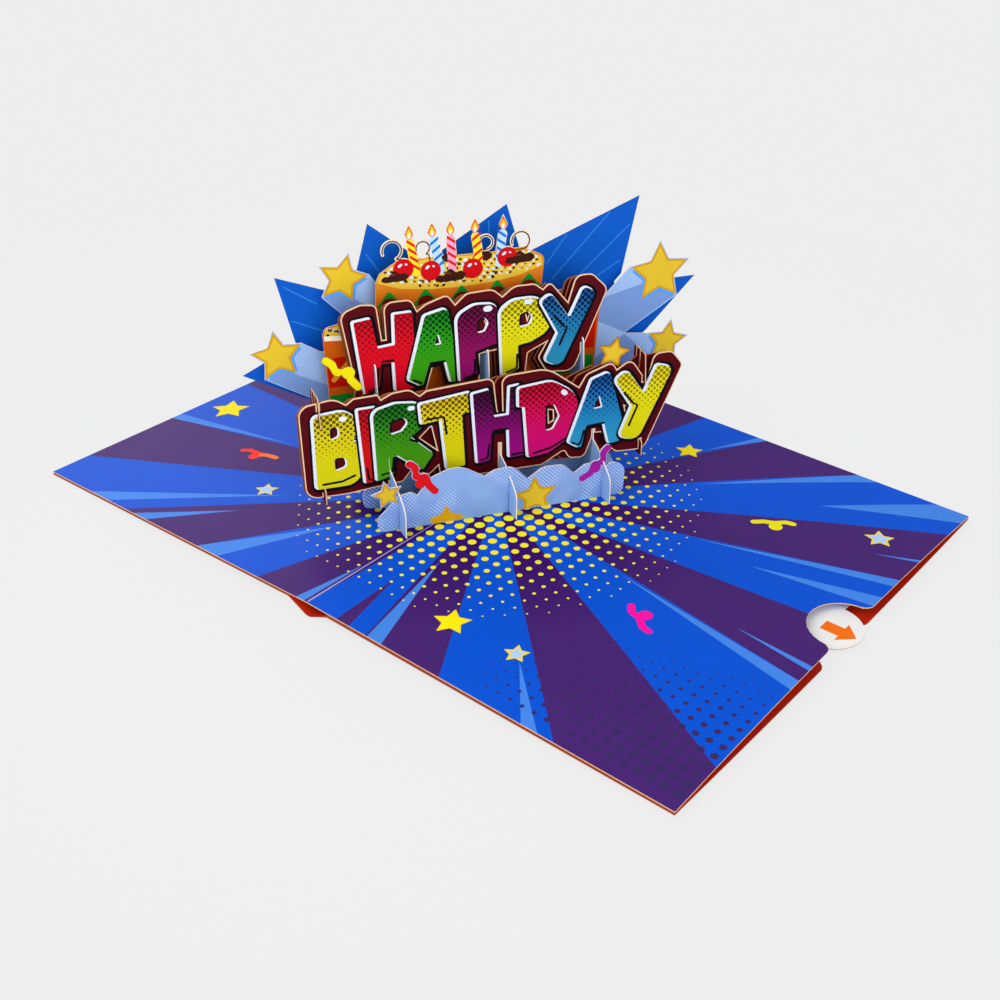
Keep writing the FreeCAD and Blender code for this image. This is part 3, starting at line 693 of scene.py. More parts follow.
def paint(node: str, finish: Finish) -> None:
    """Gives a CAD piece its finish.

    Args:
        node: the piece's node.
        finish: its finish.
    """
    piece = frame["nodes"][node]
    piece.data.materials.clear()
    piece.data.materials.append(finish.material())
    LOG.info("dressed %s with %s", node, finish.name)


def filled(name: str, shapes: Shapes, where: object, facing: Facing) -> bpy.types.Mesh:
    """Fills flat outlines and puts them on a surface.

    Args:
        name: the mesh's name.
        shapes: each an outline followed by the holes in it, in mm.
        where: function from a point (x, y) in mm to its place in metres.
        facing: direction that the faces look in.
    Returns:
        The mesh.
    """
    spots: list[Vector] = []
    faces: list[tuple[int, ...]] = []
    towards = Vector(facing.value)
    for shape in shapes:
        rings = [[Vector((x, y, 0.0)) for x, y in ring] for ring in shape]
        first = len(spots)
        spots += [where(p.x, p.y) for ring in rings for p in ring]
        for a, b, c in tessellate_polygon(rings):
            a, b, c = a + first, b + first, c + first
            normal = (spots[b] - spots[a]).cross(spots[c] - spots[a])
            faces.append((a, b, c) if normal.dot(towards) > 0 else (a, c, b))
    mesh = bpy.data.meshes.new(name)
    mesh.from_pydata(spots, [], faces)
    mesh.update()
    return mesh


def print_on_layer(name: str, shapes: Shapes, place: float, lift: float, finish: Finish,
                   slot: str) -> None:
    """Prints filled shapes on the front of a layer.

    Args:
        name: the piece's name.
        shapes: each an outline followed by its holes, in mm.
        place: the layer's place in the stack.
        lift: distance in front of the layer's face, in mm.
        finish: the ink.
        slot: the record's material slot.
    """
    mesh = filled(name, shapes, lambda x, y: layer_point(x, y, place, lift),
                  Facing.LAYER_FRONT)
    finish_piece(name, mesh, finish, slot)


def flood(node: str, inset: float, lift: float, finish: Finish, slot: str) -> None:
    """Prints the whole front of a layer but for a narrow rim.

    Args:
        node: the layer's node.
        inset: width of the bare rim, in mm.
        lift: distance in front of the face, in mm.
        finish: the ink.
        slot: the record's material slot.
    """
    towards = Vector(Facing.LAYER_FRONT.value)
    work = bmesh.new()
    work.from_mesh(frame["nodes"][node].data)
    bmesh.ops.remove_doubles(work, verts=work.verts, dist=1e-7)
    away = [f for f in work.faces if f.normal.dot(towards) < 0.9]
    bmesh.ops.delete(work, geom=away, context="FACES")
    rim = bmesh.ops.inset_region(work, faces=work.faces, thickness=inset * MM,
                                 use_boundary=True, use_even_offset=True)
    bmesh.ops.delete(work, geom=rim["faces"], context="FACES")
    bmesh.ops.translate(work, verts=work.verts, vec=towards * lift * MM)
    mesh = bpy.data.meshes.new(node + "_flood")
    work.to_mesh(mesh)
    work.free()
    finish_piece(node + "_flood", mesh, finish, slot)


# Base sheet, cover and note card


@dataclass
class DotField:
    """A printed field of round dots that shrink away from a centre; sizes in mm."""

    name: str
    centre: Point
    start: Point
    pitch: Point
    count: tuple[int, int]
    largest: float
    fall: float
    squash: float = 1.0
    smallest: float = 0.25
    cap: float = 1.7

    def tree(self) -> bpy.types.GeometryNodeTree:
        """Builds the nodes that lay the dots on a grid.

        Returns:
            The node tree.
        """
        made = bpy.data.node_groups.new(self.name + "_dots", "GeometryNodeTree")
        tree = Tree(made)
        face = made.interface
        face.new_socket("Geometry", in_out="OUTPUT", socket_type="NodeSocketGeometry")
        for label in ("Largest", "Fall", "Smallest", "Squash", "Cap"):
            face.new_socket(label, in_out="INPUT", socket_type="NodeSocketFloat")
        face.new_socket("Centre", in_out="INPUT", socket_type="NodeSocketVector")
        face.new_socket("Ink", in_out="INPUT", socket_type="NodeSocketMaterial")
        given = tree.add("NodeGroupInput").node.outputs
        columns, rows = self.count
        wide, deep = self.pitch[0] * (columns - 1), self.pitch[1] * (rows - 1)
        grid = tree.add("GeometryNodeMeshGrid", (wide, deep, columns, rows))
        middle = (self.start[0] + wide / 2, self.start[1] + deep / 2, 0.0)
        placed = tree.add("GeometryNodeTransform", {"Geometry": grid, "Translation": middle})
        spot = tree.add("GeometryNodeInputPosition")
        away = tree.add(VECTOR, (spot, given["Centre"]), operation="SUBTRACT")
        x, y = list(tree.add("ShaderNodeSeparateXYZ", (away,)).node.outputs)[:2]
        squashed = tree.add(MATH, (x, given["Squash"]), operation="MULTIPLY")
        drop = tree.add(MATH, (tree.length(squashed, y), given["Fall"]), operation="MULTIPLY")
        full = tree.add(MATH, (given["Largest"], drop), operation="SUBTRACT")
        radius = tree.add(MATH, (full, given["Cap"]), operation="MINIMUM")
        seen = tree.add(MATH, (radius, given["Smallest"]), operation="GREATER_THAN")
        disc = tree.add("GeometryNodeMeshCircle", {"Vertices": DISC_STEPS, "Radius": 1.0},
                        fill_type="NGON")
        laid = tree.add("GeometryNodeInstanceOnPoints",
                        {"Points": placed, "Selection": seen, "Instance": disc,
                         "Scale": radius})
        real = tree.add("GeometryNodeRealizeInstances", (laid,))
        inked = tree.add("GeometryNodeSetMaterial", {"Geometry": real,
                                                     "Material": given["Ink"]})
        tree.add("NodeGroupOutput", (inked,))
        return made

    def outlines(self, finish: Finish) -> list[list[Point]]:
        """Runs the nodes and reads the dots.

        Args:
            finish: the ink.
        Returns:
            The outline of each dot, in mm.
        """
        holder = bpy.data.objects.new(self.name, bpy.data.meshes.new(self.name))
        bpy.context.scene.collection.objects.link(holder)
        modifier = holder.modifiers.new("dots", "NODES")
        modifier.node_group = self.tree()
        values = {"Largest": self.largest, "Fall": self.fall, "Smallest": self.smallest,
                  "Squash": self.squash, "Cap": self.cap,
                  "Centre": (self.centre[0], self.centre[1], 0.0), "Ink": finish.material()}
        for item in modifier.node_group.interface.items_tree:
            if item.name in values and item.in_out == "INPUT":
                modifier[item.identifier] = values[item.name]
        graph = bpy.context.evaluated_depsgraph_get()
        mesh = bpy.data.meshes.new_from_object(holder.evaluated_get(graph))
        made = [[(mesh.vertices[i].co.x, mesh.vertices[i].co.y) for i in face.vertices]
                for face in mesh.polygons]
        bpy.data.objects.remove(holder)
        bpy.data.meshes.remove(mesh)
        return made


def surface_of(node: str) -> BVHTree:
    """Reads the surface of a CAD piece.

    Args:
        node: the piece's node.
    Returns:
        Its surface, ready for finding places on it.
    """
    mesh = frame["nodes"][node].data
    return BVHTree.FromPolygons([v.co for v in mesh.vertices],
                                [p.vertices for p in mesh.polygons])


@dataclass
class BaseSheet:
    """The printed inner sheet: rays, dots, stars and squiggles on both leaves; in mm."""

    lift: float = 0.03
    level_step: float = 0.008
    crease_half: float = 0.35
    fold_height: float = 5.0
    right_edge_height: float = 2.5
    right_edge_arch: float = 2.7
    left_edge_drop: float = -3.73

    def __post_init__(self) -> None:
        """Reads the sheet's surface, so that prints lie on it."""
        self.surface = surface_of("inner_sheet")

    def height(self, x: float, y: float) -> float:
        """Finds the top of the sheet.

        Args:
            x: place across the fold, in mm.
            y: place along the fold, in mm.
        Returns:
            The height in metres.
        """
        hit = self.surface.ray_cast(Vector((x * MM, y * MM, 0.02)), Vector((0, 0, -1)))[0]
        if hit is not None:
            return hit.z
        arch = self.right_edge_height + self.right_edge_arch * (1 - (y / EDGE_Y) ** 2)
        drop = arch - self.fold_height if x > 0 else self.left_edge_drop
        return (self.fold_height + drop * abs(x) / EDGE_X) * MM

    def put(self, name: str, shapes: Shapes, finish: Finish, level: int = 0) -> None:
        """Prints filled shapes on the sheet.

        Args:
            name: the piece's name.
            shapes: each an outline followed by its holes, in mm.
            finish: the ink.
            level: which ink in the order of printing.
        """
        rise = (self.lift + self.level_step * level) * MM
        mesh = filled(name, shapes,
                      lambda x, y: Vector((x * MM, y * MM, self.height(x, y) + rise)),
                      Facing.UP)
        finish_piece(name, mesh, finish, "printed_sheet")

    def dress(self) -> None:
        """Puts the rays on the sheet and prints everything that lies over them."""
        paint("inner_sheet", SHEET_PRINT)
        yellow = DotField("base_dots_yellow", RAY_CENTRE, (-74.5, -67.0), (4.53, 4.47),
                          (34, 30), 2.26, 0.03)
        dark = DotField("base_dots_dark", (126.0, -82.0), (35.06, -80.3), (4.07, 3.97),
                        (23, 16), 1.65, 0.028, 0.72)
        for field, key in ((yellow, "dot_yellow"), (dark, "dot_dark")):
            finish = INK[key]
            self.put(field.name, [[dot] for dot in field.outlines(finish)], finish)
        gold = [star(-115.3, -17, 7.4, 57), star(38.2, -65.6, 6.0, 48),
                star(36.1, 60.9, 5.0, 48)]
        pale = [star(-58.8, -49.1, 4.2, 55), star(61.3, -64.9, 4.0, 46),
                star(111.9, 52.3, 5.0, 47)]
        for name, stars, rim, key in (("base_stars", gold, 0.4, "base_star"),
                                      ("base_pale_stars", pale, 0.6, "pale_star")):
            self.put(name + "_rim", [[rounded(s)] for s in stars], INK["base_star_rim"], 2)
            self.put(name, [[rounded(grown(s, -rim))] for s in stars], INK[key], 3)
        depths = [-85.4 + 5.6 * step for step in range(11)]
        halves = [self.crease_half - 0.02 * step for step in range(11)]
        right = list(zip(halves, depths))
        crease = [(-half, y) for half, y in right] + right[::-1]
        self.put("base_crease", [[crease]], CREASE, 1)
        squiggles = [
            ("red", [(-87.3, -36.2), (-84.6, -33.9), (-80, -33.7), (-78, -33)],
             (-80, -36.3, 3.8), INK["base_red"]),
            ("orange", [(-79.4, -33.6), (-76, -32.5), (-72.1, -32)], (-78.6, -34.0, 2.2),
             INK["base_orange"]),
            ("pink", [(72.5, -26.2), (75, -29.5), (78.3, -30.3), (81.3, -33.3), (85, -34.1)],
             (78.9, -28.3, 4.4), INK["confetti_pink"]),
            ("yellow", [(76.3, 34.3), (79.2, 37.2), (82.5, 38.8), (85, 41.5), (88.3, 42.2)],
             (83.8, 37, 4.4), INK["confetti_yellow"])]
        for label, path, (x, y, wide), colour in squiggles:
            self.put("base_squiggle_" + label, [[band(path, 2.3)]], colour, 2)
            self.put("base_blob_" + label, [[ellipse(x, y, wide, wide)]], colour, 3)


@dataclass
class Wrap:
    """The folded cover and the note card in its pocket; sizes in mm."""

    tab_middle: Point = (124.2, 3.5)
    ink_lift: float = 0.02

    def dress(self) -> None:
        """Gives the cover and the note card their board, and prints the tab's arrow."""
        paint("cover", COVER_PRINT)
        paint("note_card", NOTE_PAPER)
        x, y = self.tab_middle
        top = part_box("note_card")[1].z
        surface = surface_of("note_card")

        def where(px: float, py: float) -> Vector:
            """Puts a point on the tab.

            Args:
                px: place across, in mm.
                py: place along the fold, in mm.
            Returns:
                The place in metres.
            """
            start = Vector((px * MM, py * MM, top + 0.005))
            hit = surface.ray_cast(start, Vector((0, 0, -1)))[0]
            return Vector((px * MM, py * MM, (hit.z if hit else top) + self.ink_lift * MM))

        arrow = [(x - 5.6, y - 2.2), (x + 0.2, y - 2.2), (x + 0.2, y - 4.6), (x + 4.8, y),
                 (x + 0.2, y + 4.6), (x + 0.2, y + 2.2), (x - 5.6, y + 2.2)]
        mesh = filled("note_tab_arrow", [[arrow]], where, Facing.UP)
        finish_piece("note_tab_arrow", mesh, INK["orange_arrow"], "white_note", "note")


# Banners

# How far each outline of a letter stands out from it, and where it is shifted to, in mm.
BLACK_GROWTH, BLACK_SHIFT = 1.35, (-0.3, 0.2)
WHITE_GROWTH, WHITE_SHIFT = 0.35, (-0.62, 0.42)
GAP_GROWTH, GAP_SHIFT = -0.1, (-0.5, 0.35)
HOLE_GROWTH = -0.65
STROKE_WIDTH = 0.8


def shifted(corners: Sequence[Corner], growth: float, shift: Point) -> list[Point]:
    """Grows an outline, moves it and rounds it.

    Args:
        corners: corner points with radii, in mm.
        growth: how far it grows, in mm.
        shift: how far it moves across and upwards, in mm.
    Returns:
        Points along the outline.
    """
    return rounded([(x + shift[0], y + shift[1], r) for x, y, r in grown(corners, growth)])


@dataclass
class Letter:
    """One printed letter: outline, counters, dark strokes and highlights, in mm."""

    name: str
    outer: list[Corner]
    holes: list[list[Corner]]
    shades: list[list[Point]]
    face: str
    top: str
    dot: str
    lights: list[tuple[float, ...]]

    def dress(self, banner: str, place: float, order: int, low: float, high: float) -> None:
        """Prints the letter with its outlines.

        Args:
            banner: name that its pieces start with.
            place: the banner's place in the stack.
            order: place in the order of printing.
            low: height of the letters' feet, in mm.
            high: height of the letters' tops, in mm.
        """
        label = "%s_letter_%s" % (banner, self.name)
        base = 0.03 + 0.012 * order
        black = [shifted(self.outer, BLACK_GROWTH, BLACK_SHIFT)]
        black += [shifted(hole, HOLE_GROWTH, (0.0, 0.0)) for hole in self.holes]
        white = [shifted(self.outer, WHITE_GROWTH, WHITE_SHIFT)]
        white += [shifted(hole, GAP_GROWTH, GAP_SHIFT) for hole in self.holes]
        face = [rounded(ring) for ring in [self.outer] + self.holes]
        fill = Fade(label + "_ink", self.face, self.face, top=self.top, dot=self.dot,
                    low=low, high=high)
        for part, shapes, lift, finish in (
                ("_black", [black], 0.0, INK["black"]),
                ("_white", [white], 0.003, INK["white"]),
                ("_fill", [face], 0.006, fill),
                ("_shade", [[band(path, STROKE_WIDTH)] for path in self.shades], 0.009,
                 INK["black"]),
                ("_light", [[ellipse(*light)] for light in self.lights], 0.010, INK["white"])):
            if shapes:
                print_on_layer(label + part, shapes, place, base + lift, finish,
                               "banner_paper")


LOWER_LETTERS = [
    Letter("B", [(-60.4, 39.7, 2), (-50.9, 40.4, 5), (-47.0, 37.5, 4), (-47.5, 30.8, 3),
                 (-49.2, 30.2, 0.4), (-46.2, 28.2, 3), (-45.8, 18.8, 5), (-49.2, 14.5, 5),
                 (-60.8, 14.5, 1)],
           [[(-55.7, 35.7, 1), (-52.8, 34.8, 1.2), (-52.8, 32.0, 1.2), (-55.7, 30.7, 1)],
            [(-54.9, 24.8, 1), (-51.3, 24.5, 1.4), (-50.9, 21.2, 1.4), (-54.9, 20.0, 1)]],
           [[(-59.3, 16.0), (-53.0, 16.2), (-48.5, 17.8)]],
           "#D2CB0C", "#D0C00A", "#604C0C", [(-51.5, 37.8, 2.5, 1.8)]),
    Letter("I", [(-46.8, 40.0, 0.5), (-41.0, 40.1, 0.5), (-42.3, 14.5, 0.5),
                 (-45.5, 14.2, 0.5)], [], [[(-45.0, 19.7), (-44.5, 15.3), (-43.0, 15.3)]],
           "#C81408", "#C00812", "#700212", []),
    Letter("R", [(-42.3, 38.7, 3), (-35.1, 40.5, 6), (-26.3, 39.5, 6), (-25.5, 32.2, 5),
                 (-30.8, 28.2, 0.5), (-23.7, 21.2, 0.8), (-27.3, 15.9, 0.8),
                 (-36.0, 23.2, 0.8), (-36.8, 15.8, 0.5), (-41.8, 14.3, 0.5)],
           [[(-37.5, 29.8, 1), (-37.0, 34.7, 1.4), (-32.6, 35.5, 1.4), (-31.3, 33.3, 1.4),
             (-33.4, 30.8, 1)]],
           [[(-40.7, 16.3), (-37.0, 17.0), (-36.3, 22.2)], [(-31.3, 27.5), (-28.3, 26.2)]],
           "#4C980C", "#067010", "#042C08", [(-30.3, 38.2, 2.4, 1.6)]),
    Letter("T", [(-27.5, 39.0, 0.6), (-11.3, 40.8, 0.6), (-11.1, 34.2, 0.5),
                 (-14.2, 33.8, 0.5), (-13.5, 15.3, 0.5), (-19.3, 14.8, 0.5),
                 (-20.8, 32.8, 0.5), (-27.0, 32.0, 0.5)], [],
           [[(-25.8, 33.5), (-20.0, 33.7), (-19.3, 27.2)]],
           "#D2CB0C", "#D8C408", "#6A4A0A", []),
    Letter("H", [(-10.7, 40.0, 0.5), (-5.4, 40.8, 0.5), (-3.8, 31.0, 0.4), (1.0, 31.1, 0.4),
                 (1.3, 40.7, 0.4), (4.7, 41.0, 0.4), (7.3, 16.0, 0.5), (1.3, 15.7, 0.5),
                 (1.0, 25.8, 0.4), (-4.7, 25.8, 0.4), (-5.3, 15.7, 0.5), (-9.3, 15.3, 0.5)],
           [], [[(-8.5, 16.3), (-6.0, 16.6), (-5.5, 21.7)], [(1.8, 16.5), (6.5, 16.8)],
                [(-4.3, 26.2), (0.8, 26.2)]],
           "#98087C", "#3A0428", "#1C0418", []),
    Letter("D", [(4.2, 39.8, 1), (15.3, 40.8, 6), (24.7, 34.7, 9), (22.8, 20.5, 9),
                 (14.5, 15.3, 5), (7.7, 14.5, 0.8), (6.2, 33.0, 0.4), (4.3, 33.3, 0.4)],
           [[(13.2, 33.0, 1), (16.2, 32.3, 1.4), (18.0, 28.0, 1.6), (15.8, 23.7, 1.4),
             (13.2, 23.2, 1)]],
           [[(8.8, 15.7), (15.3, 17.0), (20.7, 19.8)]],
           "#C40872", "#D0062A", "#5E020C", [(19.3, 36.2, 2.6, 1.7, -45)]),
    Letter("A", [(28.5, 39.3, 1.5), (34.5, 41.3, 1.5), (40.5, 19.7, 1), (39.3, 15.7, 2),
                 (35.3, 15.2, 1), (33.3, 23.0, 0.4), (27.0, 22.7, 0.4), (25.5, 15.0, 0.8),
                 (21.3, 17.8, 0.8)],
           [[(29.3, 28.7, 0.4), (31.2, 33.7, 0.3), (32.5, 29.0, 0.4)]],
           [[(27.2, 22.8), (33.5, 23.2)], [(22.3, 17.7), (25.0, 16.2), (26.5, 21.7)]],
           "#2C98BE", "#0654A0", "#041C44", []),
    Letter("Y", [(36.3, 38.0, 2), (40.5, 41.0, 2), (46.7, 31.7, 0.5), (50.7, 41.5, 1),
                 (56.3, 39.8, 2), (45.2, 14.8, 4), (38.7, 17.0, 2), (42.7, 27.7, 0.8)], [],
           [[(39.5, 33.3), (43.2, 28.7), (44.7, 28.0), (41.8, 20.5)]],
           "#D8D006", "#E2D812", "#8A7806", []),
]
UPPER_LETTERS = [
    Letter("H", [(-44.7, 64.1, 0.5), (-39.3, 64.7, 0.5), (-37.7, 54.8, 0.4),
                 (-32.3, 55.3, 0.4), (-32.2, 65.2, 0.4), (-26.5, 65.3, 0.5),
                 (-25.7, 40.0, 0.5), (-32.5, 39.7, 0.5), (-32.7, 49.5, 0.4),
                 (-37.0, 49.5, 0.4), (-37.7, 41.8, 0.5), (-42.2, 39.8, 0.5)], [],
           [[(-41.3, 40.8), (-38.3, 41.8), (-37.7, 48.7)], [(-36.7, 50.2), (-32.7, 50.2)]],
           "#D00420", "#D2081C", "#7E0210", []),
    Letter("A", [(-22.7, 63.5, 1.5), (-15.5, 65.2, 1.5), (-11.8, 40.2, 0.5),
                 (-14.8, 40.3, 0.5), (-16.3, 47.3, 0.4), (-21.8, 47.2, 0.4),
                 (-24.0, 40.0, 0.8), (-28.3, 42.7, 0.8)],
           [[(-19.9, 53.5, 0.4), (-18.7, 57.7, 0.3), (-17.7, 53.5, 0.4)]],
           [[(-21.7, 47.5), (-16.5, 47.7)], [(-27.2, 42.7), (-24.2, 41.0)]],
           "#3C9C0C", "#078610", "#043006", []),
    Letter("P_first", [(-12.7, 62.2, 4), (-7.0, 65.2, 6), (-0.2, 64.7, 5), (1.3, 60.3, 3),
                       (0.8, 51.7, 2), (-7.0, 49.5, 0.5), (-6.5, 41.8, 0.5),
                       (-11.8, 39.8, 0.5)],
           [[(-6.5, 55.5, 1), (-6.2, 60.0, 1.2), (-3.7, 60.8, 1.2), (-2.5, 58.7, 1.4),
             (-3.7, 56.0, 1)]],
           [[(-10.8, 40.7), (-7.2, 41.8), (-7.0, 47.0)]],
           "#920C66", "#66042E", "#26021C", [(-2.8, 63.4, 3.0, 2.0)]),
    Letter("P_second", [(1.2, 62.2, 4), (5.5, 65.2, 6), (14.2, 65.2, 7), (18.2, 59.5, 8),
                        (17.3, 53.5, 7), (11.3, 50.5, 4), (7.0, 49.8, 0.5),
                        (7.3, 41.8, 0.5), (2.0, 39.8, 0.5)],
           [[(7.2, 55.8, 1), (7.5, 60.3, 1.2), (10.3, 61.0, 1.2), (12.0, 58.7, 1.4),
             (10.7, 56.2, 1)]],
           [[(3.0, 40.8), (6.7, 42.0), (6.8, 47.0)]],
           "#D2CC0A", "#DCD60C", "#7E7006", [(10.3, 64.1, 3.0, 1.7)]),
    Letter("Y", [(14.3, 63.5, 1.5), (17.7, 65.8, 1.5), (24.0, 57.0, 0.5), (28.5, 67.0, 1.5),
                 (32.5, 64.7, 2), (21.3, 40.3, 4), (16.0, 43.2, 1.5), (20.3, 52.2, 0.8)],
           [], [[(18.5, 58.7), (22.2, 54.2), (23.3, 54.0), (20.7, 47.8)]],
           "#2A90B4", "#08589C", "#041432", []),
]


@dataclass
class Banner:
    """A greeting banner of three card layers, one behind the other."""

    name: str
    first: int
    letters: list[Letter]
    low: float
    high: float
    rim: float = 0.35
    lift: float = 0.01

    def dress(self) -> None:
        """Gives the layers their card and prints the letters on the front one."""
        for step, part in enumerate(("front", "middle", "back")):
            node = "%s_plate_%s" % (self.name, part)
            # The layers behind the front one get brown card that is painted shade.
            paint(node, BANNER_PAINTED_SHADE if step else BANNER_EDGE)
            flood(node, self.rim, self.lift, BANNER_FLOOD, "banner_paper")
        for order, letter in enumerate(self.letters):
            letter.dress(self.name, self.first, order, self.low, self.high)


# Cake

# Steps that spread crumbs evenly without a pattern.
SPREAD_ACROSS = 0.618034
SPREAD_UP = 0.754878
SPREAD_SIZE = 0.569840
SPREAD_TURN = 137.5


@dataclass
class Cake:
    """The two-tier cake with candles and cherries; sizes in mm."""

    place: int = 10
    lift: float = 0.015
    level_step: float = 0.006
    rim_low: float = 69.4
    rim_middle: float = -9.0
    candle_foot: float = 73.4
    candle_top: float = 85.3
    candle_width: float = 2.6
    cherry_width: float = 6.4
    curl_width: float = 0.38
    top_crumbs: int = 120
    low_crumbs: int = 16
    crumbs_from: float = -33.0
    crumbs_run: float = 49.0
    crumbs_rise: float = 8.4
    cherries: tuple[Point, ...] = ((-27.1, 76.3), (-18.6, 74.8), (-5.3, 74.0), (5.7, 76.5))
    stems: tuple[Corner, ...] = ((-30.4, 82.4, 3.0), (-20.9, 82.2, 2.1), (-1.2, 81.8, 2.3),
                                 (10.0, 81.2, 2.9))

    def put(self, name: str, shapes: Shapes, level: int, finish: Finish) -> None:
        """Prints shapes on the cake.

        Args:
            name: the piece's name.
            shapes: each an outline followed by its holes, in mm.
            level: place in the order of printing.
            finish: the ink.
        """
        lift = self.lift + self.level_step * level
        print_on_layer(name, shapes, self.place, lift, finish, "cake_paper")

    def tiers(self) -> None:
        """Prints the sponge, the icing and the patterns round the two tiers."""
        rim = [(-35.2, 72.6), (-28.0, 70.0), (-18.0, 68.8), (-9.0, 68.5), (2.0, 69.0),
               (10.0, 70.2), (17.4, 72.6)]
        top = [(16.6, 75.4), (12.0, 77.8), (-20.0, 78.6), (-30.0, 77.9), (-34.4, 75.2)]
        spots = ((-31.8, 69.6), (-20.4, 69.2), (-9.0, 69.0), (2.4, 69.4), (12.8, 70.4))
        outlines = (
            ("top_sponge", 0, "sponge", [rim + top]),
            ("top_green", 1, "green",
             [rounded([(u - 4.4, h - 5.2, 0), (u + 4.4, h - 5.2, 0), (u, h + 0.3, 0.8)])
              for u, h in spots]),
            ("top_red", 2, "deep_red", [ellipse(u, h - 4.4, 5.2, 4.6) for u, h in spots]),
            ("low_top", 0, "sponge",
             [[(-52.6, 57.6), (-46.0, 57.0), (-36.6, 56.6), (-36.4, 61.4), (-47.0, 60.8),
               (-52.0, 59.8)], [(17.0, 59.6), (36.3, 59.0), (35.6, 62.8), (17.0, 62.9)]]),
            ("low_icing", 1, "icing",
             [[(-52.6, 57.6), (-46.0, 57.0), (-36.6, 56.6), (-36.6, 55.2), (-46.0, 55.4),
               (-52.6, 56.0)], [(17.0, 59.6), (36.3, 59.0), (36.3, 57.6), (17.0, 58.0)]]),
            ("low_red", 1, "red",
             [[(-52.4, 50.0), (-36.0, 50.0), (-36.0, 40.0), (-52.0, 40.0)],
              [(17.0, 53.6), (36.0, 53.0), (35.4, 42.0), (17.0, 42.0)]]),
            ("low_slash", 2, "orange",
             [band([(-51.0, 42.0), (-45.0, 48.6)], 1.6),
              band([(-46.0, 41.6), (-40.0, 48.6)], 1.6)]),
            ("low_dots", 2, "yellow",
             [ellipse(x, y, 1.8, 1.8) for x, y in ((20, 51), (24.4, 51), (28.8, 51),
                                                   (33.2, 51), (22.2, 47.2), (26.6, 47.2),
                                                   (31, 47.2))]),
            ("low_green", 1, "green",
             [[(-52.0, 37.4), (-36.0, 37.4), (-36.0, 33.0), (-52.0, 33.0)],
              [(17.0, 39.6), (35.2, 39.6), (35.0, 34.0), (17.0, 34.0)]]))
        for name, level, key, rings in outlines:
            self.put("cake_" + name, [[ring] for ring in rings], level, INK[key])

    def crumbs(self) -> None:
        """Scatters small crumbs over the sponge."""
        for name, finish, start, shift in (("brown", INK["chocolate"], 0.39, 0.0),
                                           ("white", INK["white"], 1.04, 0.7)):
            shapes = []
            for step in range(self.top_crumbs):
                u = self.crumbs_from + self.crumbs_run * ((step * SPREAD_ACROSS + start) % 1.0)
                h = self.rim_low + self.crumbs_rise * ((step * SPREAD_UP + shift) % 1.0)
                aside = abs(u - self.rim_middle)
                # The sponge's rear corners and the rim's upturned ends stay free of crumbs.
                if aside > 22 and h > 76.0 or h < self.rim_low + (aside / 26) ** 2 * 3.6:
                    continue
                size = 0.35 + 0.5 * ((step * SPREAD_SIZE) % 1.0)
                turns = [math.radians(SPREAD_TURN * step + side)
                         for side in (0, 80, 190, 260)]
                shapes.append([[(u + size * math.cos(turn), h + 0.8 * size * math.sin(turn))
                                for turn in turns]])
            for step in range(self.low_crumbs):
                u = -51.4 + 13.5 * ((step * SPREAD_ACROSS + shift) % 1.0)
                h = 57.8 + 2.0 * ((step * SPREAD_UP + shift) % 1.0)
                shapes.append([ellipse(u, h, 1.1, 0.7, 50.0 * step)])
            self.put("cake_crumbs_" + name, shapes, 3, finish)

    def toppings(self) -> None:
        """Prints the chocolate, the cherries and the candles with their flames."""
        blobs = [(-29.8, 74.4, 9.4), (-12.4, 72.8, 10.8), (9.8, 76.2, 10.6)]
        heap = [(-0.5, -0.1, 1.2), (-0.36, 0.1, 1.4), (-0.2, 0.06, 1.0), (-0.02, 0.36, 1.9),
                (0.16, 0.12, 1.0), (0.3, 0.2, 1.3), (0.5, 0.02, 1.2), (0.34, -0.16, 0.8),
                (-0.3, -0.18, 0.9)]
        shapes = [[rounded([(x + px * w, y + py * w * 0.8 - 0.6, 0.9 * r)
                            for px, py, r in heap])] for x, y, w in blobs]
        self.put("cake_chocolate_back", [[ellipse(-13.2, 78.3, 4.4, 2.6)],
                                         [ellipse(-1.6, 77.6, 5.0, 3.0)]], 4, INK["chocolate"])
        self.put("cake_chocolate", shapes, 12, INK["chocolate"])
        self.put("cake_chocolate_shine", [[ellipse(x - 0.6, y + 0.5, 1.8, 0.6)]
                                          for x, y, _ in blobs], 13, INK["chocolate_light"])
        candles = [(-25.0, -22.9, 0, 1), (-17.9, -15.2, 1, -1), (-12.2, -11.7, 2, 1),
                   (-4.5, -3.1, 0, -1), (4.4, 3.1, 1, 1)]
        colours = [("yellow", "red"), ("light_blue", "blue"), ("pink", "red")]
        low, high = self.candle_foot, self.candle_top
        side = self.candle_width / 2
        for number, (top, foot, kind, way) in enumerate(candles, start=1):
            stick = band([(foot, low), (top, high)], self.candle_width)
            body, stripe = (INK["candle_" + colour] for colour in colours[kind])
            self.put("candle_%d" % number, [[stick]], 6, body)
            stripes = []
            for step in range(4):
                share = 0.14 + 0.21 * step
                u = foot + (top - foot) * share
                h = low + (high - low) * share
                left, right = u - side * way, u + side * way
                stripes.append([[(left, h + 1.9), (right, h), (right, h + 1.0),
                                 (left, h + 2.9)]])
            self.put("candle_%d_stripes" % number, stripes, 7, stripe)
            flame = [(top, high - 0.4, 0.6), (top - 1.4, high + 1.6, 1.1),
                     (top, high + 4.5, 0.2), (top + 1.4, high + 1.6, 1.1)]
            self.put("flame_%d" % number, [[rounded(flame)]], 8, INK["flame_orange"])
            inner = [(x * 0.7 + top * 0.3, y * 0.72 + (high + 1.2) * 0.28, r)
                     for x, y, r in flame]
            self.put("flame_%d_heart" % number, [[rounded(inner)]], 9, INK["flame_yellow"])
            self.put("flame_%d_core" % number, [[ellipse(top, high + 1.1, 0.9, 1.7)]], 10,
                     INK["white"])
        curls = []
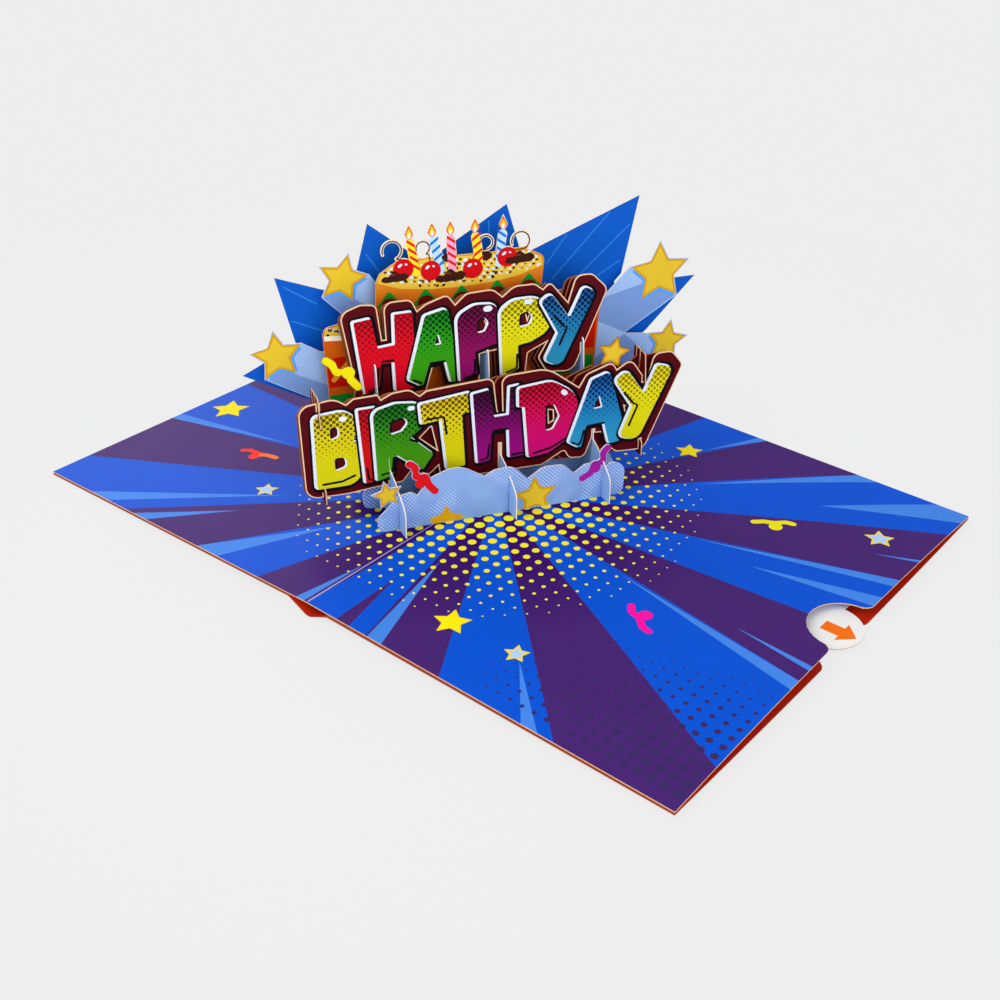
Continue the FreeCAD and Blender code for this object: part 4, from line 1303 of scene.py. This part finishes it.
        for (u, h), (x, y, radius) in zip(self.cherries, self.stems):
            turns = [math.radians(turn) for turn in range(-65, 201, 24)]
            ring = [(x + radius * math.cos(turn), y + radius * math.sin(turn))
                    for turn in turns]
            stem = [(u, h + 2.4), (u + (x - u) * 0.2, y - radius), ring[0]]
            curls += [[band(ring, self.curl_width)], [band(stem, self.curl_width)]]
        self.put("cake_curls", curls, 5, INK["chocolate"])
        for number, (u, h) in enumerate(self.cherries, start=1):
            wide = self.cherry_width
            self.put("cherry_%d" % number, [[ellipse(u, h, wide, wide)]], 10, INK["cherry"])
            self.put("cherry_%d_shine" % number,
                     [[ellipse(u - 1.0, h + 1.2, 1.6, 0.9, 35)],
                      [ellipse(u + 0.9, h + 1.4, 0.9, 0.6, -35)]], 11, INK["white"])

    def dress(self) -> None:
        """Gives the cake its card and prints it."""
        paint("cake_plate", CAKE_CARD)
        self.tiers()
        self.crumbs()
        self.toppings()


# Clouds, stars and burst

# How far the inks of a star lie in front of its layer, in mm.
STAR_RIM_LIFT = 0.02
STAR_FACE_LIFT = 0.028


def print_stars(name: str, rims: Sequence[Sequence[Point]], faces: Sequence[Sequence[Point]],
                place: float, slot: str) -> None:
    """Prints golden stars with lighter faces on a layer.

    Args:
        name: the name of the faces' piece; the rims' has "_rim" after it.
        rims: outlines of the rims, in mm.
        faces: outlines of the faces, in mm.
        place: the layer's place in the stack.
        slot: the record's material slot.
    """
    print_on_layer(name + "_rim", [[ring] for ring in rims], place, STAR_RIM_LIFT,
                   INK["gold"], slot)
    print_on_layer(name, [[ring] for ring in faces], place, STAR_FACE_LIFT,
                   INK["star_yellow"], slot)


@dataclass
class Surround:
    """Cloud strips, shooting stars, burst and the slices that hold the layers; in mm."""

    shade_lift: float = 0.012
    line_lift: float = 0.015
    glow_lift: float = 0.016
    curl_lift: float = 0.03
    knot_lift: float = 0.034
    curl_width: float = 2.4
    glow_width: float = 1.3
    trail_place: float = 12
    burst_place: float = 13.75
    glow_start: float = 0.25
    ray_half: float = 0.22
    big_stars: tuple[tuple[float, float, float, float], ...] = (
        (-66.6, 50.6, 8.8, 95), (-44.9, 73.4, 8.5, 74), (59.3, 63.2, 11.0, 92),
        (63.4, 38.3, 7.9, 80))
    # The corners of each star, in order, between which its trail begins.
    trail_corners: tuple[tuple[int, int], ...] = ((2, 6), (2, 6), (4, 8), (6, 8))
    rays: tuple[tuple[Point, Point], ...] = (
        ((21.6, 68.8), (28.4, 78.0)), ((23.6, 63.5), (42.7, 83.8)),
        ((31.3, 62.2), (49.8, 79.2)), ((39.5, 62.9), (47.0, 67.3)),
        ((2.6, 79.4), (2.6, 85.4)), ((-36.6, 79.0), (-32.4, 72.2)),
        ((-62.4, 71.2), (-52.5, 64.4)), ((-60.8, 59.9), (-50.0, 54.7)))

    def clouds(self) -> None:
        """Prints the cloud strips with the stars and confetti on the front one."""
        for part in ("front", "middle", "rear"):
            # The front strip's lighter blue is painted light.
            paint("cloud_strip_" + part, CLOUD_FRONT_PAINTED_LIGHT if part == "front" else CLOUD_PRINT)
        half = [(-21.8, 6.25), (-20.5, 3.4), (-15.8, 1.25), (-17.0, 0.1), (-26.4, 0.1),
                (-27.7, 2.1), (-23.6, 3.2)]
        big = star(7.6, 4.2, 7.6, 92)
        low = [(x, max(y, 0.1), r) for x, y, r in big]
        face = [(x, max(y, 0.1), r) for x, y, r in grown(big, -0.9)]
        floor = star(-40.6, 13.2, 5.2, 100)
        print_stars("cloud_stars", [half, rounded(low), rounded(grown(floor, -0.25))],
                    [rounded(face), rounded(grown(floor, -0.8))], 0, "cloud_paper")
        curls = [("red", (-29.9, 15.6, 3.5), [(-34.2, 23.6), (-31.0, 21.4), (-31.8, 17.6),
                                              (-28.2, 18.2), (-27.4, 14.6), (-24.6, 11.2)],
                  0, INK["confetti_red"], "cloud_paper"),
                 ("purple", (28.0, 11.2, 3.6), [(32.8, 18.8), (30.2, 16.4), (31.0, 12.6),
                                                (27.4, 13.2), (26.6, 9.6), (22.6, 7.6)],
                  0, INK["confetti_purple"], "cloud_paper"),
                 ("yellow", (-48.0, 50.4, 4.0), [(-55.4, 56.0), (-52.6, 53.6), (-51.6, 50.4),
                                                 (-48.2, 51.6), (-47.4, 48.0), (-44.6, 44.4)],
                  5, INK["confetti_yellow"], "banner_paper")]
        for label, (u, h, wide), _, place, finish, slot in curls:
            print_on_layer("confetti_knot_" + label, [[ellipse(u, h, wide, wide)]], place,
                           self.knot_lift, finish, slot)
        for label, _, path, place, finish, slot in curls:
            print_on_layer("confetti_" + label, [[band(path, self.curl_width)]], place,
                           self.curl_lift, finish, slot)
        small = star(36.4, 46.3, 5.9, 76)
        print_stars("banner_star", [rounded(grown(small, -0.2))],
                    [rounded(grown(small, -0.8))], 4, "banner_paper")

    def trails(self) -> None:
        """Prints the shooting stars and the two-tone trails behind them."""
        place = self.trail_place
        paint("star_trail_plate", TRAIL_PALE)
        dark = [[(-46.0, 28.2), (-70.0, 43.0), (-66.0, 46.2), (-46.5, 36.0)],
                [(-45.2, 61.7), (-51.0, 67.9), (-48.6, 71.2), (-34.4, 61.5)],
                [(39.4, 56.6), (60.0, 61.6), (65.3, 54.7), (48.0, 43.6), (36.0, 50.0)],
                [(48.0, 43.0), (58.2, 33.4), (44.0, 28.4), (36.0, 34.0)]]
        print_on_layer("star_trail_shade", [[shape] for shape in dark], place,
                       self.shade_lift, INK["trail_shade"], "star_paper")
        stars = [star(*values) for values in self.big_stars]
        glows = []
        for corners, (first, last) in zip(stars, self.trail_corners):
            path = [Vector(corner[:2]) for corner in corners[first:last + 1]]
            path[0] = path[0].lerp(path[1], self.glow_start)
            path[-1] = path[-1].lerp(path[-2], self.glow_start)
            glows.append([band([tuple(spot) for spot in path], self.glow_width)])
        print_on_layer("star_trail_glow", glows, place, self.glow_lift, INK["trail_glow"],
                       "star_paper")
        print_stars("big_stars", [rounded(grown(s, -0.25)) for s in stars],
                    [rounded(grown(s, -0.95)) for s in stars], place, "star_paper")

    def burst(self) -> None:
        """Prints the burst with fine light lines across its points."""
        paint("burst_plate", BURST_PRINT)
        lines = []
        for first, last in self.rays:
            along = (Vector(last) - Vector(first)).normalized()
            wide = Vector((-along.y, along.x)) * self.ray_half
            ends = [Vector(first) - wide, Vector(last) - wide, Vector(last) + wide,
                    Vector(first) + wide]
            lines.append([[tuple(end) for end in ends]])
        print_on_layer("burst_lines", lines, self.burst_place, self.line_lift,
                       INK["burst_line"], "burst_paper")

    def dress(self) -> None:
        """Dresses everything round the banners and the cake."""
        self.clouds()
        self.trails()
        self.burst()
        for part in ("left", "middle", "right"):
            paint("cross_slice_" + part, SLICE_PRINT)
        for part in ("left", "right"):
            paint("banner_tie_" + part, TIE_PRINT)


# Inks and papers

# Deep purple and blue rays under a soft sheen, with warm board at the sheet's edge.
SHEET_PRINT = Sunburst("printed_sheet_card", "#42206A", "#D8AC80", Facing.UP, 0.42)
# A bright red border with a slightly glossier coat than the sheet's; the dark brown-red of its
# cut edge is painted shade.
COVER_PRINT = Finish("cover_card", "#C02408", "#8C3A1C", Facing.UP, 0.4)
# Matt writing card, a neutral white beside all the print.
NOTE_PAPER = Finish("uncoated_white_card", "#E4E3E0", "#CFA070", Facing.UP, 0.62)
# The cream rim round the letters of a front layer.
BANNER_EDGE = Finish("banner_card", "#E8C49C", "#DDB488")
# The layers behind it: their brown is painted shade, darker than the front layer's cream,
# which gives the banners their depth.
BANNER_PAINTED_SHADE = Finish("banner_card_painted_shade", "#9A5A38", "#A4653E")
# Dark red ink that makes the letters stand out.
BANNER_FLOOD = Finish("banner_red_ink", "#50050C", "#50050C", roughness=0.45)
# Soft blue billows; the front strip is a little lighter as painted light, for the light that
# falls on the front of the stack.
CLOUD_PRINT = CloudPrint("cloud_card", "#5F86C8", "#F8E8D4")
CLOUD_FRONT_PAINTED_LIGHT = CloudPrint("cloud_front_card_painted_light", "#688ECE", "#F8E8D4")
# Pale blue slices that read as part of the clouds.
SLICE_PRINT = Finish("slice_card", "#8CB2E8", "#F8E8D4", Facing.SLICE_SIDE)
# Dark red ties that vanish between the banner's layers.
TIE_PRINT = Finish("tie_card", "#5A060E", "#DDB488", Facing.SLICE_SIDE)
# Orange sponge that reddens downwards under cream curls.
CAKE_CARD = CakePrint("cake_card", "#D98A20", "#EFD8B4")
# Pale blue trails against the darker burst.
TRAIL_PALE = Finish("trail_card", "#9ABAEA", "#F8E8D4")
# Strong blue behind everything, which closes the stack.
BURST_PRINT = Finish("burst_card", "#0656BC", "#F0DCC0")
# The fold's worn line, where the ink has cracked to a paler violet.
CREASE = ink("worn_crease", "#9C92CC")
# Inks, each a plain colour on its sheet.
INK = {name: ink(name + "_ink", code) for name, code in {
    "white": "#DCE2EA", "black": "#08060A", "sponge": "#DEBA3C", "icing": "#F6EEDC",
    "deep_red": "#6A1208", "green": "#0C8A28", "red": "#C81400", "orange": "#EE9A24",
    "yellow": "#F0D818", "chocolate": "#3A160C", "chocolate_light": "#6E3420",
    "cherry": "#C80612", "candle_yellow": "#EED824", "candle_red": "#D42020",
    "candle_light_blue": "#B4D8F0", "candle_blue": "#1C70D0", "candle_pink": "#EC9CBC",
    "flame_yellow": "#F2CC20", "flame_orange": "#E05C0C", "gold": "#CE9A10",
    "star_yellow": "#DCBA2C", "trail_shade": "#7496D0", "trail_glow": "#4E9CF0",
    "burst_line": "#2C7AD2", "orange_arrow": "#EE6C10", "dot_yellow": "#F2E21C",
    "dot_dark": "#35265C", "pale_star": "#A8C8F4", "base_star_rim": "#F0D014",
    "base_star": "#F8E008", "base_red": "#F4341C", "base_orange": "#F87830",
    "confetti_red": "#D81418", "confetti_pink": "#F5089C", "confetti_yellow": "#E6DA0A",
    "confetti_purple": "#A01C94"
}.items()}


# Stage


@dataclass
class Stage:
    """Floor, light and camera; places in metres."""

    camera_place: tuple[float, float, float] = (0.2415, -0.2882, 0.2301)
    look_at: tuple[float, float, float] = (0.0016, -0.0003, 0.0)
    lens: float = 47.52
    backdrop: str = "#EDEDED"
    room: str = "#F4F6FA"
    floor_half: float = 6.0
    floor_height: float = -0.0002
    shadow_near: float = 0.14
    shadow_far: float = 0.32
    shadow_share: float = 0.1
    room_strength: float = 0.5
    lamps: tuple[tuple, ...] = (("key", (-0.25, -0.7, 0.8), 0.7, 6.5),
                                ("fill", (0.85, -0.45, 0.45), 0.8, 7.0),
                                ("back", (-0.9, 0.3, 0.5), 0.8, 3.5))

    def floor(self) -> None:
        """Makes the pale floor; to the camera it is mostly even, with a soft shadow."""
        mesh = bpy.data.meshes.new("floor")
        half, z = self.floor_half, self.floor_height
        corners = [(-half, -half, z), (half, -half, z), (half, half, z), (-half, half, z)]
        mesh.from_pydata(corners, [], [(0, 1, 2, 3)])
        made = bpy.data.materials.new("pale_floor")
        made.use_nodes = True
        tree = Tree(made.node_tree)
        colour = linear(self.backdrop)
        plain = tree.add("ShaderNodeBsdfDiffuse", {"Color": colour})
        even = tree.add("ShaderNodeEmission", {"Color": colour, "Strength": 1.0})
        spot = tree.add("ShaderNodeNewGeometry", out="Position")
        reach = tree.add(VECTOR, (spot,), "Value", operation="LENGTH")
        far = tree.add(RANGE, (reach, self.shadow_near, self.shadow_far))
        share = tree.add(MATH, (far, self.shadow_share, 1.0 - self.shadow_share),
                         operation="MULTIPLY_ADD")
        seen = tree.add(MATH, (tree.add("ShaderNodeLightPath"), share), operation="MULTIPLY")
        both = tree.add("ShaderNodeMixShader", (seen, plain, even))
        tree.add("ShaderNodeOutputMaterial", (both,))
        mesh.materials.append(made)
        floor = bpy.data.objects.new("floor", mesh)
        bpy.context.scene.collection.objects.link(floor)

    def light(self) -> None:
        """Makes the studio light: a pale room and three soft lamps."""
        world = bpy.data.worlds.new("studio")
        world.use_nodes = True
        tree = Tree(world.node_tree)
        seen = tree.add("ShaderNodeLightPath")
        colour = tree.add(MIX, {0: seen, 6: linear(self.room), 7: linear(self.backdrop)}, 2,
                          data_type="RGBA")
        strength = tree.add(MATH, (seen, 1.0 - self.room_strength, self.room_strength),
                            operation="MULTIPLY_ADD")
        room = tree.add("ShaderNodeBackground", {"Color": colour, "Strength": strength})
        tree.add("ShaderNodeOutputWorld", (room,))
        bpy.context.scene.world = world
        for name, spot, wide, power in self.lamps:
            lamp = bpy.data.lights.new(name, "AREA")
            lamp.size = wide
            lamp.energy = power
            holder = bpy.data.objects.new(name, lamp)
            holder.location = spot
            away = Vector(spot) - Vector(self.look_at)
            holder.rotation_euler = away.to_track_quat("Z", "Y").to_euler()
            bpy.context.scene.collection.objects.link(holder)

    def camera(self) -> None:
        """Makes the camera."""
        lens = bpy.data.cameras.new("camera")
        lens.lens = self.lens
        lens.sensor_width = 36.0
        lens.clip_start = 0.01
        holder = bpy.data.objects.new("camera", lens)
        holder.location = self.camera_place
        towards = Vector(self.look_at) - Vector(self.camera_place)
        holder.rotation_euler = towards.to_track_quat("-Z", "Y").to_euler()
        bpy.context.scene.collection.objects.link(holder)
        bpy.context.scene.camera = holder

    def build(self) -> None:
        """Makes the floor, the light and the camera."""
        self.floor()
        self.light()
        self.camera()
        bpy.context.scene.view_settings.view_transform = "Standard"


def main() -> None:
    """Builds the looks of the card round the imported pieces."""
    logging.basicConfig(level=logging.INFO, format="%(name)s %(message)s")
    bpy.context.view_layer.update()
    BaseSheet().dress()
    Wrap().dress()
    Banner("birthday", 3, LOWER_LETTERS, 15.0, 40.5).dress()
    Banner("happy", 7, UPPER_LETTERS, 40.0, 65.0).dress()
    Cake().dress()
    Surround().dress()
    Stage().build()


if __name__ == "__main__":
    main()
